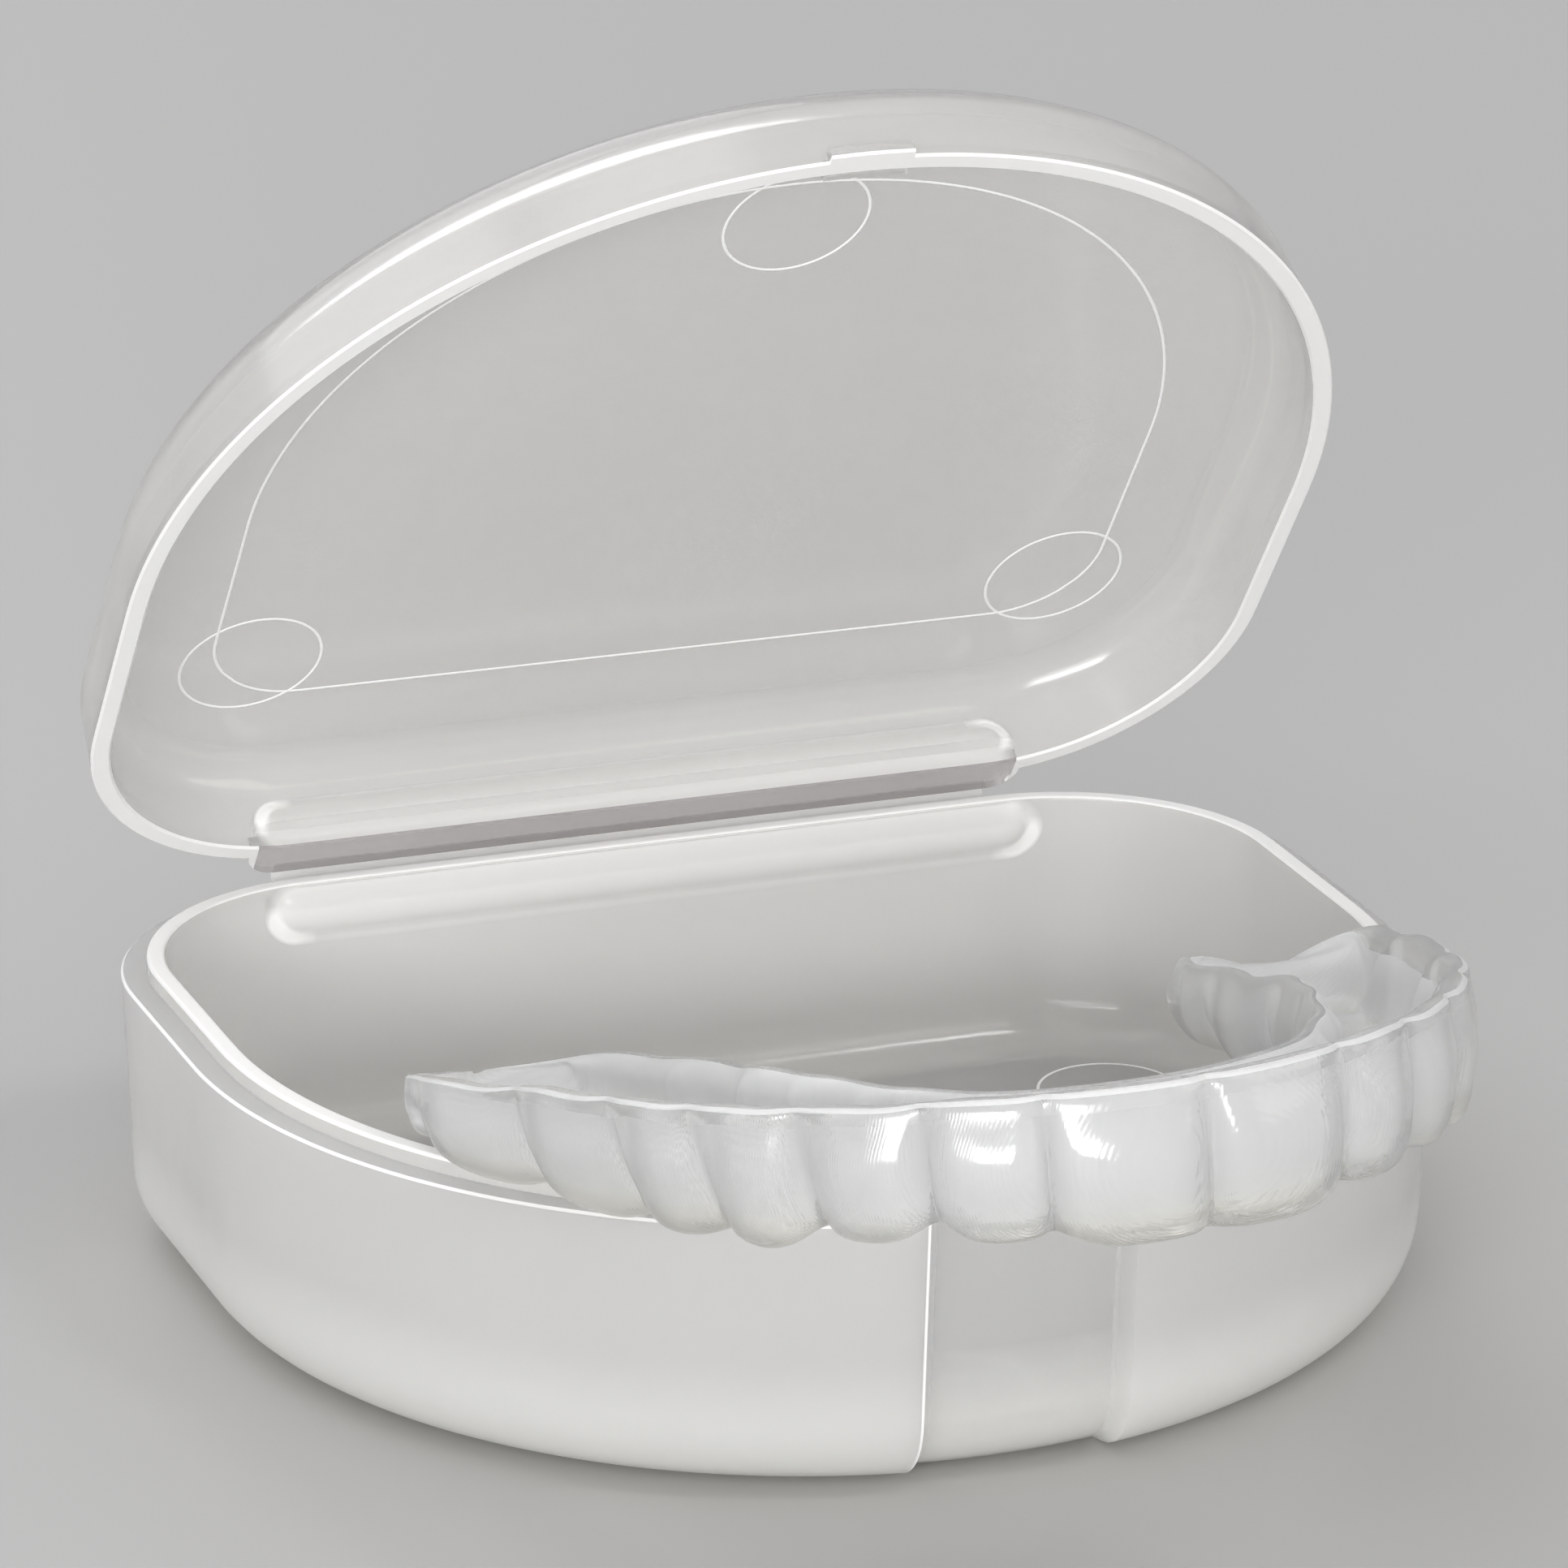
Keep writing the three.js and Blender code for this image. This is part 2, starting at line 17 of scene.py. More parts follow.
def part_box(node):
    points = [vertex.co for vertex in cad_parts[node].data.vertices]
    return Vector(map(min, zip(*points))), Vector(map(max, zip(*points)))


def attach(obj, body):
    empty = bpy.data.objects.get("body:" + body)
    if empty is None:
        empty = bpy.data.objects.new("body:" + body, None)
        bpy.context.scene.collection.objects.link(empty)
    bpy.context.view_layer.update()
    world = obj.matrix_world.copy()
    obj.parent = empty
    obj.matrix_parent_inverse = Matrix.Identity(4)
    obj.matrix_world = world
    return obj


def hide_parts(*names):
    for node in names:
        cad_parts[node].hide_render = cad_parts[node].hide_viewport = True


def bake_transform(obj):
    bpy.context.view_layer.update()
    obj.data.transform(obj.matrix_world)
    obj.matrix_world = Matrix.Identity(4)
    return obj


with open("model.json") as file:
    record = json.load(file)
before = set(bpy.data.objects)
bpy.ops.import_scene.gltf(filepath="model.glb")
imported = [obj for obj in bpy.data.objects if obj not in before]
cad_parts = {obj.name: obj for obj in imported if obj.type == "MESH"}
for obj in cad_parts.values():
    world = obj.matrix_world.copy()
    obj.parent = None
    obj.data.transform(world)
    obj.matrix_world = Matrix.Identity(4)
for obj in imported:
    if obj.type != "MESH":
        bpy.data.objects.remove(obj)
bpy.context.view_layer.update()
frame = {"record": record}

MM = 0.001

# Driving sizes of the case: its width and its hinge come from the frame
hinge_joint = next(j for j in frame["record"]["behaviour"]["joints"] if j["name"] == "lid_hinge")
base_low, base_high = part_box("case_base")
CASE_WIDTH = (base_high[0] - base_low[0]) / MM
HINGE_Y = hinge_joint["pos_m"][1] / MM
BASE_HEIGHT = hinge_joint["pos_m"][2] / MM
HINGE_OFFSET = 1.9
HALF_DEPTH = HINGE_Y - HINGE_OFFSET
FRONT_REACH = 39
BACK_CORNER_RADIUS = 16

# Base
BASE_DRAFT = 0.6
BASE_FOOT_RADIUS = 5
FLOOR_THICKNESS = 2
BASE_INNER_RADIUS = 3.5
BASE_INNER_DRAFT = 0.4
LEDGE_WIDTH = 1.65
LIP_HEIGHT = 1.05
LIP_THICKNESS = 1.15
LIP_EDGE_BREAK = 0.22
BASE_WALL = LEDGE_WIDTH + LIP_THICKNESS
EDGE_BREAK = 0.16

# Thumb recess
RECESS_WIDTH = 12.8
RECESS_DEPTH = 1.3
RECESS_EDGE = 0.5

# Lid
LID_DEPTH = 7.2
LID_RIM_WIDTH = 1.3
LID_PLATE_THICKNESS = 1.3
LID_EDGE_RADIUS = 3.2
LID_INNER_RADIUS = 2.4
LID_DRAFT = 0.4
LID_OPEN_ANGLE = math.radians(54)

# Catch
CATCH_WIDTH = 5.4
CATCH_HEIGHT = 0.6
CATCH_REACH = 0.6
CATCH_CLEARANCE = 0.3
CATCH_LIFT = 0.15
LIFT_BEAD_REACH = 0.5
LIFT_BEAD_HEIGHT = 0.8

# Living hinge, with a hollow bar along it in the base and in the lid
HINGE_LENGTH = 54
HINGE_CORNER_RADIUS = 2
FLANGE_THICKNESS = 0.9
LID_FLANGE_THICKNESS = 1.4
FLANGE_EDGE_Y = HINGE_Y - 0.9
LID_FLANGE_EDGE_Y = HINGE_Y - 0.2
WEB_THICKNESS = 0.3
WEB_RADIUS = 0.45
COVE_WALL = 1.2
COVE_END_LENGTH = 2.4
BASE_COVE_RADIUS = 2.2
LID_COVE_RADIUS = 1.6
LID_COVE_OUTSET = 0.5
LID_LIP_CLEARANCE = 0.15

# How finely the curves are cut
FRONT_STEPS = 56
SIDE_STEPS = 6
CORNER_STEPS = 22
FILLET_STEPS = 12
WEB_STEPS = 24
CIRCLE_STEPS = 72
OUTER_WALL_LEVELS = (8, 11, 13.5)
INNER_WALL_LEVELS = (12, 9)
FLAT_MARGIN = 0.3
STEP_GAP = 0.02
LEVEL_GAP = 0.01

# Meshes: points nearer than these become one, and edges sharper than these degrees stay sharp
MERGE_GAP = 0.002
LEAST_EDGE = 0.001
CASE_SHARP_ANGLE = 32
WEB_SHARP_ANGLE = 40
LINE_SHARP_ANGLE = 60
GUARD_SHARP_ANGLE = 70


def mirrored(values):
    """The values and their negatives, in rising order."""
    return sorted({-v for v in values} | set(values))


# Places along X where the front and back walls are cut, closer together by each edge on them
CATCH_HALF = CATCH_WIDTH / 2
NOTCH_HALF = CATCH_HALF + CATCH_CLEARANCE
RECESS_HALF = RECESS_WIDTH / 2
CATCH_CUTS = [edge + side * STEP_GAP for edge in (CATCH_HALF, NOTCH_HALF) for side in (-1, 1)]
RECESS_CUTS = [
    RECESS_HALF + RECESS_EDGE * share for share in (-1.2, -0.8, -0.5, -0.25, 0, 0.25, 0.5, 0.8, 1.2)
]
FRONT_CUTS = mirrored([0, 1.2, 3.8, 4.6, 5.4, 8] + CATCH_CUTS + RECESS_CUTS)
BACK_CUTS = mirrored(
    [0, 4, 8, 12, 16, 20, 23, 24.6, 25.1, 25.5, 25.8, 26.1, 26.35, 26.55, 26.7, 26.8, 26.88, 26.96, 27]
    + [27.2, 27.5, 27.75, 27.95, 28.1, 28.2, 28.6, 29.5]
)


def smooth(share):
    """A share held between 0 and 1 and eased at both ends."""
    share = min(max(share, 0), 1)
    return share * share * (3 - 2 * share)


def case_ring(inset, z, front=None, back=None):
    """The case outline moved inwards by an inset, as a loop at height z, anticlockwise from the left.

    front(x) is an extra inset of the front wall, and back(x, y) moves a point of the back wall.
    """
    half_width = CASE_WIDTH / 2 - inset
    reach = FRONT_REACH - inset
    centre_y = FRONT_REACH - HALF_DEPTH
    radius = BACK_CORNER_RADIUS - inset
    corner_x = half_width - radius
    corner_y = HALF_DEPTH - BACK_CORNER_RADIUS
    front_turn = math.acos(FRONT_CUTS[-1] / half_width)
    corner_turn = math.acos((BACK_CUTS[-1] - corner_x) / radius)

    def front_arc(start, end):
        angles = [start + (end - start) * (i + 0.5) / FRONT_STEPS for i in range(FRONT_STEPS)]
        return [(half_width * math.cos(a), centre_y + reach * math.sin(a), z) for a in angles]

    def front_point(x):
        extra = front(x) if front else 0
        across = half_width - extra
        return (x, centre_y - (reach - extra) * math.sqrt(1 - (x / across) ** 2), z)

    def side_point(side, i):
        return (side * half_width, centre_y + (corner_y - centre_y) * i / SIDE_STEPS, z)

    def corner_point(side, i):
        angle = corner_turn * i / CORNER_STEPS
        return (side * (corner_x + radius * math.cos(angle)), corner_y + radius * math.sin(angle), z)

    def back_point(x):
        past = max(abs(x) - corner_x, 0)
        y = corner_y + math.sqrt(radius ** 2 - past ** 2)
        return (x, back(x, y) if back else y, z)

    return [
        side_point(-1, 0),
        *front_arc(math.pi, math.pi + front_turn),
        *[front_point(x) for x in FRONT_CUTS],
        *front_arc(2 * math.pi - front_turn, 2 * math.pi),
        *[side_point(1, i) for i in range(SIDE_STEPS)],
        *[corner_point(1, i) for i in range(CORNER_STEPS)],
        *[back_point(x) for x in reversed(BACK_CUTS)],
        *[corner_point(-1, i) for i in reversed(range(CORNER_STEPS))],
        *[side_point(-1, i) for i in reversed(range(1, SIDE_STEPS))],
    ]


def rounded_edge(from_z, radius, wall_inset, way):
    """Levels (z, inset) from a flat face at from_z round an edge to a wall; way is 1 where it goes up."""
    levels = []
    for i in range(FILLET_STEPS + 1):
        angle = math.pi / 2 * i / FILLET_STEPS
        z = from_z + way * radius * (1 - math.cos(angle))
        levels.append((z, wall_inset + radius * (1 - math.sin(angle))))
    return levels


def cove_depth(x, z, radius, axis_z, end_length):
    """How far a bar along the hinge, with rounded ends, reaches from its axis at this place, or None."""
    full = HINGE_LENGTH / 2 - COVE_END_LENGTH
    past = (abs(x) - full) / end_length
    if past >= 1:
        return None
    size = radius * math.sqrt(1 - max(past, 0) ** 2)
    rest = size ** 2 - (z - axis_z) ** 2
    return math.sqrt(rest) if rest > 0 else None


def cove(axis_y, axis_z, radius, extra, z):
    """A mover for the back wall that pushes it inwards round a bar along the hinge."""

    def move(x, y):
        depth = cove_depth(x, z, radius + extra, axis_z, COVE_END_LENGTH + extra)
        return y if depth is None else min(y, axis_y - depth)

    return move


def flange_edge(x, y, edge_y=FLANGE_EDGE_Y):
    """The back wall pushed out to the edge of the hinge flange, which has round corners in plan."""
    past = abs(x) - (HINGE_LENGTH / 2 - HINGE_CORNER_RADIUS)
    if past >= HINGE_CORNER_RADIUS:
        return y
    round_off = HINGE_CORNER_RADIUS - math.sqrt(HINGE_CORNER_RADIUS ** 2 - max(past, 0) ** 2)
    return max(y, edge_y - round_off)


def lid_flange_edge(x, y):
    """The same for the lid's flange, which is longer."""
    return flange_edge(x, y, LID_FLANGE_EDGE_Y)


def by_hinge(middle):
    """Whether a face with this middle is on the back wall by the hinge."""
    return abs(middle.x) < HINGE_LENGTH / 2 + COVE_WALL and middle.y > HALF_DEPTH - BACK_CORNER_RADIUS / 2


def new_mesh_object(name, points, faces, slots, materials, sharp_angle):
    """A smooth object from points in millimetres, faces and one material index for each face."""
    mesh = bpy.data.meshes.new(name)
    mesh.from_pydata([Vector(p) * MM for p in points], [], faces)
    for material in materials:
        mesh.materials.append(material)
    for polygon, slot in zip(mesh.polygons, slots):
        polygon.material_index = slot
    work = bmesh.new()
    work.from_mesh(mesh)
    bmesh.ops.remove_doubles(work, verts=work.verts, dist=MERGE_GAP * MM)
    bmesh.ops.dissolve_degenerate(work, edges=work.edges, dist=LEAST_EDGE * MM)
    work.to_mesh(mesh)
    work.free()
    mesh.shade_smooth()
    mesh.set_sharp_from_angle(angle=math.radians(sharp_angle))
    thing = bpy.data.objects.new(name, mesh)
    bpy.context.scene.collection.objects.link(thing)
    return thing


def end_slot(slot):
    """The material index of a flat end: its band's own, or the first where each face has its own."""
    return 0 if isinstance(slot, list) else slot


def loft(name, bands, materials, sharp_angle=CASE_SHARP_ANGLE):
    """A closed mesh through equal rings.

    Each band is (ring, material index up to the next ring), with one index or one for each face.
    """
    count = len(bands[0][0])
    points = [p for ring, _ in bands for p in ring]
    faces = [tuple(reversed(range(count)))]
    slots = [end_slot(bands[0][1])]
    for r in range(len(bands) - 1):
        low = r * count
        high = low + count
        slot = bands[r][1]
        for i in range(count):
            j = (i + 1) % count
            faces.append((low + i, low + j, high + j, high + i))
            slots.append(slot[i] if isinstance(slot, list) else slot)
    last = (len(bands) - 1) * count
    faces.append(tuple(range(last, last + count)))
    slots.append(end_slot(bands[-1][1]))
    return new_mesh_object(name, points, faces, slots, materials, sharp_angle)


# Materials

WARM_WHITE = (0.975, 0.965, 0.95)
CLOUD_WHITE = (0.955, 0.945, 0.93)
# Cream of the thick foot, and partly painted light: a warm glow bounced up from below
FOOT_CREAM_AND_BOUNCE_LIGHT = (0.97, 0.945, 0.865)
EDGE_WHITE = (0.985, 0.985, 0.98)
# The hinge flange's darker tint is painted shade: the shadow and the reflection of the base seen in the
# thin clear flange
FLANGE_PAINTED_SHADE = (0.78, 0.745, 0.75)
FLANGE_PAINTED_SHADE_CLOUD = (0.71, 0.675, 0.68)
GUARD_WHITE = (0.965, 0.97, 0.97)
GUARD_CLOUD = (0.93, 0.935, 0.93)
GUARD_CREAM = (0.965, 0.95, 0.9)

# Heights over which the base and the guard turn from cream to clear, and how many times clearer the
# base is above its foot. The base's cream and clouding are partly its thicker foot and partly painted
# light, a warm glow bounced up from below that lightens the shaded foot
BASE_CREAM_AND_LIGHT_HEIGHTS = (1.5, 9)
GUARD_CREAM_HEIGHTS = (0.1, 1.5)
FOOT_CLOUDING_AND_LIGHTENING = 3

# The whitened bar along the hinge: fades in shares of its radius, and over a length at its ends.
# Its whitening is partly the thicker plastic of the bar and partly painted light on its shaded
# underside, and the crescents at its ends are painted highlights
BAR_FADE = (0.72, 1.05)
CRESCENT_HIGHLIGHT_FADE = (0.5, 0.85)
CRESCENT_HIGHLIGHT_STRENGTH = 3
RIM_SIDE_FADE = 0.3
BAR_END_FADE = 1

# The attribute that keeps places as a piece was made, and the colour sockets of Blender's mix node
MADE_PLACE = "made_place"
MIX_COLOUR_INPUTS = (6, 7)
MIX_COLOUR_OUTPUT = 2


def move_into_place(thing, turn):
    """Turn and move a piece's mesh, and keep its points' places from before as an attribute."""
    place = thing.data.attributes.new(MADE_PLACE, "FLOAT_VECTOR", "POINT")
    place.data.foreach_set("vector", [value for vertex in thing.data.vertices for value in vertex.co])
    thing.data.transform(turn)


def set_values(node, **values):
    """Set a node's inputs, each named with _ for a space."""
    for key, value in values.items():
        node.inputs[key.replace("_", " ")].default_value = value


class Nodes:
    """A small helper that adds and joins shader nodes."""

    def __init__(self, name):
        self.material = bpy.data.materials.new(name)
        self.material.use_nodes = True
        self.tree = self.material.node_tree
        self.shader = self.tree.nodes["Principled BSDF"]
        self.place = self.add("ShaderNodeTexCoord").outputs["Object"]
        self.colour = None

    def use_made_place(self):
        """Read positions as the piece was made, before it was turned and moved into place."""
        node = self.add("ShaderNodeAttribute")
        node.attribute_name = MADE_PLACE
        self.place = node.outputs["Vector"]

    def add(self, kind, **values):
        node = self.tree.nodes.new(kind)
        set_values(node, **values)
        return node

    def join(self, output, socket):
        self.tree.links.new(output, socket)

    def join_shader(self, **outputs):
        """Join outputs to the shader's inputs, each named with _ for a space."""
        for key, output in outputs.items():
            self.join(output, self.shader.inputs[key.replace("_", " ")])

    def noise(self, scale, detail, roughness):
        noise = self.add("ShaderNodeTexNoise", Scale=scale, Detail=detail, Roughness=roughness)
        self.join(self.place, noise.inputs["Vector"])
        return noise.outputs["Fac"]

    def between(self, factor, low, high, low_in=0.3, high_in=0.7):
        """The factor mapped from low_in..high_in to low..high."""
        node = self.add("ShaderNodeMapRange", From_Min=low_in, From_Max=high_in, To_Min=low, To_Max=high)
        self.join(factor, node.inputs["Value"])
        return node.outputs["Result"]

    def maths(self, operation, first, second=None):
        """The result of an operation on sockets or numbers."""
        node = self.add("ShaderNodeMath")
        node.operation = operation
        for socket, value in zip(node.inputs, (first, second)):
            if isinstance(value, (int, float)):
                socket.default_value = value
            elif value is not None:
                self.join(value, socket)
        return node.outputs[0]

    def along(self, axis):
        """The position along X, Y or Z."""
        split = self.add("ShaderNodeSeparateXYZ")
        self.join(self.place, split.inputs[0])
        return split.outputs[axis]

    def mix_colour(self, factor, first, second):
        """The first colour where the factor is 0, and the second where it is 1."""
        node = self.add("ShaderNodeMix")
        node.data_type = "RGBA"
        self.join(factor, node.inputs["Factor"])
        for index, value in zip(MIX_COLOUR_INPUTS, (first, second)):
            if isinstance(value, tuple):
                node.inputs[index].default_value = (*value, 1)
            else:
                self.join(value, node.inputs[index])
        return node.outputs[MIX_COLOUR_OUTPUT]

    def bump(self, height, strength, distance, before=None):
        """A normal raised by a height, on top of the one before it."""
        node = self.add("ShaderNodeBump", Strength=strength, Distance=distance)
        self.join(height, node.inputs["Height"])
        if before:
            self.join(before, node.inputs["Normal"])
        return node.outputs["Normal"]


def milky_plastic(name, clear_colour, cloud_colour, transmission, roughness, grain):
    """Translucent polypropylene: faint clouds in the colour, satin patches and a fine moulded grain."""
    nodes = Nodes(name)
    set_values(nodes.shader, IOR=1.49, Transmission_Weight=transmission)
    clouds = nodes.noise(scale=45, detail=4, roughness=0.55)
    nodes.colour = nodes.mix_colour(nodes.between(clouds, 0, 1), clear_colour, cloud_colour)
    patches = nodes.noise(scale=120, detail=3, roughness=0.6)
    fine = nodes.noise(scale=2600, detail=2, roughness=0.5)
    nodes.join_shader(
        Base_Color=nodes.colour,
        Roughness=nodes.between(patches, roughness * 0.8, roughness * 1.2),
        Normal=nodes.bump(fine, strength=grain, distance=0.02 * MM),
    )
    return nodes


def white_plastic(name, transmission, roughness, grain):
    return milky_plastic(name, WARM_WHITE, CLOUD_WHITE, transmission, roughness, grain)


def creamy_foot_and_painted_light(nodes):
    """Warm and cloud the plastic towards its foot, where the wall is thickest, and let light spread in it;
    the warmth and the clouding are also painted light, a glow bounced up from below on the shaded foot.
    """
    low_z, high_z = BASE_CREAM_AND_LIGHT_HEIGHTS
    low = nodes.between(nodes.along("Z"), 1, 0, low_z * MM, high_z * MM)
    clear = nodes.shader.inputs["Transmission Weight"].default_value
    nodes.join_shader(
        Base_Color=nodes.mix_colour(low, nodes.colour, FOOT_CREAM_AND_BOUNCE_LIGHT),
        Transmission_Weight=nodes.between(low, clear, clear / FOOT_CLOUDING_AND_LIGHTENING, 0, 1),
    )
    set_values(
        nodes.shader,
        Subsurface_Weight=0.8,
        Subsurface_Radius=(1, 0.95, 0.88),
        Subsurface_Scale=7 * MM,
    )
    return nodes


def whitened_bar(nodes, axis_z, reach, end_length, bar_transmission):
    """Whiten the bar along the hinge, most of all in a crescent at each of its two ends.

    axis_z is the height of its middle line, reach how far the white goes from there, negative
    where the rim is above, and end_length how far it goes past the bar's straight run. The
    crescents lie on the side away from the rim. The whitening is partly the thicker plastic of the
    bar and partly painted light on its shaded underside, and the crescents are painted highlights.
    """
    size = nodes.maths("ABSOLUTE", nodes.along("X"))
    full = (HINGE_LENGTH / 2 - COVE_END_LENGTH) * MM
    past = nodes.maths("MAXIMUM", nodes.maths("SUBTRACT", size, full), 0)
    past = nodes.maths("DIVIDE", past, end_length * MM)
    across = nodes.maths("DIVIDE", nodes.maths("SUBTRACT", nodes.along("Z"), axis_z * MM), reach * MM)
    past_square = nodes.maths("MULTIPLY", past, past)
    across_square = nodes.maths("MULTIPLY", across, across)
    radius = nodes.maths("SQRT", nodes.maths("ADD", past_square, across_square))
    inside = nodes.between(radius, 1, 0, *BAR_FADE)
    near_end = nodes.between(size, 0, 1, full - BAR_END_FADE * MM, full + BAR_END_FADE * MM)
    ring = nodes.maths("MULTIPLY", nodes.between(radius, 0, CRESCENT_HIGHLIGHT_STRENGTH, *CRESCENT_HIGHLIGHT_FADE), inside)
    away = nodes.between(across, 0, 1, -RIM_SIDE_FADE, RIM_SIDE_FADE)
    ring = nodes.maths("MULTIPLY", ring, away)
    crescent = nodes.between(nodes.maths("MULTIPLY", ring, near_end), 1, 0, 0, 1)
    clear = nodes.shader.inputs["Transmission Weight"].default_value
    body = nodes.between(inside, clear, bar_transmission, 0, 1)
    nodes.join_shader(Transmission_Weight=nodes.maths("MULTIPLY", body, crescent))
    return nodes


def base_hinge_wall():
    """The plastic of the base's back wall inside, whitened along the hinge."""
    nodes = white_plastic("base_hinge_wall", transmission=0.55, roughness=0.14, grain=0.1)
    axis_z = BASE_HEIGHT - FLANGE_THICKNESS
    return whitened_bar(nodes, axis_z, reach=-2.2, end_length=2.5, bar_transmission=0.3).material


def lid_hinge_wall():
    """The plastic of the lid's back wall inside, whitened along the hinge."""
    nodes = white_plastic("lid_hinge_wall", transmission=0.76, roughness=0.15, grain=0.1)
    nodes.use_made_place()
    axis_z = LID_FLANGE_THICKNESS
    return whitened_bar(nodes, axis_z, reach=2, end_length=1.9, bar_transmission=0.45).material


def guard_material(name, colour, cloud_colour, transmission, roughness, lines):
    """Clear, slightly milky resin, creamy at its foot, with the fine layer lines of a print.

    roughness is its lowest and highest value, and lines is the strength of the layer lines.
    """
    nodes = Nodes(name)
    nodes.use_made_place()
    set_values(nodes.shader, IOR=1.5, Transmission_Weight=transmission)
    clouds = nodes.noise(scale=160, detail=4, roughness=0.6)
    mixed = nodes.mix_colour(nodes.between(clouds, 0, 1), colour, cloud_colour)
    low_z, high_z = GUARD_CREAM_HEIGHTS
    low = nodes.between(nodes.along("Z"), 1, 0, low_z * MM, high_z * MM)
    layers = nodes.add("ShaderNodeTexWave", Scale=2400.0, Distortion=0.8, Detail=1.0)
    layers.bands_direction = "Y"
    nodes.join(nodes.place, layers.inputs["Vector"])
    ridged = nodes.bump(layers.outputs["Fac"], strength=lines, distance=0.012 * MM)
    swell = nodes.noise(scale=420, detail=3, roughness=0.5)
    nodes.join_shader(
        Base_Color=nodes.mix_colour(low, mixed, GUARD_CREAM),
        Roughness=nodes.between(clouds, *roughness),
        Normal=nodes.bump(swell, strength=0.4, distance=0.09 * MM, before=ridged),
    )
    return nodes.material


# The foot is warmed and clouded, partly as painted light that lightens its shade
BASE_PLASTIC = creamy_foot_and_painted_light(
    white_plastic("case_base_plastic", transmission=0.6, roughness=0.38, grain=0.15)
).material
BASE_INSIDE = white_plastic("case_base_inside", transmission=0.55, roughness=0.14, grain=0.1).material
# The hinge walls carry painted light along the hinge bar and painted highlights at its ends
BASE_HINGE_WALL = base_hinge_wall()
RECESS_PLASTIC = creamy_foot_and_painted_light(
    white_plastic("recess_plastic", transmission=0.7, roughness=0.12, grain=0.1)
).material
LID_PLASTIC = white_plastic("case_lid_plastic", transmission=0.76, roughness=0.15, grain=0.1).material
LID_HINGE_WALL = lid_hinge_wall()
LID_PLATE = white_plastic("case_lid_plate", transmission=0.74, roughness=0.15, grain=0.03).material
MOULDED_LINE = milky_plastic(
    "moulded_line", EDGE_WHITE, EDGE_WHITE, transmission=0, roughness=0.5, grain=0
).material
FROSTED_EDGE = milky_plastic(
    "frosted_edge", EDGE_WHITE, WARM_WHITE, transmission=0.1, roughness=0.4, grain=0.3
).material
# Plastic darkened with painted shade, for the underside of the lid's flange
FLANGE_SHADED_PLASTIC = milky_plastic(
    "hinge_flange_painted_shade", FLANGE_PAINTED_SHADE, FLANGE_PAINTED_SHADE_CLOUD, transmission=0.75, roughness=0.1, grain=0.08
).material
GUARD_PLASTIC = guard_material(
    "guard_plastic", GUARD_WHITE, GUARD_CLOUD, transmission=0.78, roughness=(0.1, 0.18), lines=0.4
)
GUARD_INSIDE = guard_material(
    "guard_inside", GUARD_WHITE, GUARD_CLOUD, transmission=0.4, roughness=(0.3, 0.42), lines=1
)
# Whiter, less clear plastic along the outer edge of the guard's rim: a painted highlight
GUARD_HIGHLIGHT_EDGE = guard_material(
    "guard_highlight_edge", EDGE_WHITE, GUARD_WHITE, transmission=0.5, roughness=(0.3, 0.4), lines=0
)


# Case base


def recess_inset(x):
    """How far the thumb recess goes into the front wall."""
    return RECESS_DEPTH * smooth((RECESS_HALF - abs(x)) / RECESS_EDGE + 0.5)


def notch_inset(x):
    """How far the notch for the catch goes into the lip."""
    reach = LID_RIM_WIDTH + CATCH_REACH + CATCH_CLEARANCE - LEDGE_WIDTH
    return reach if abs(x) < NOTCH_HALF else 0


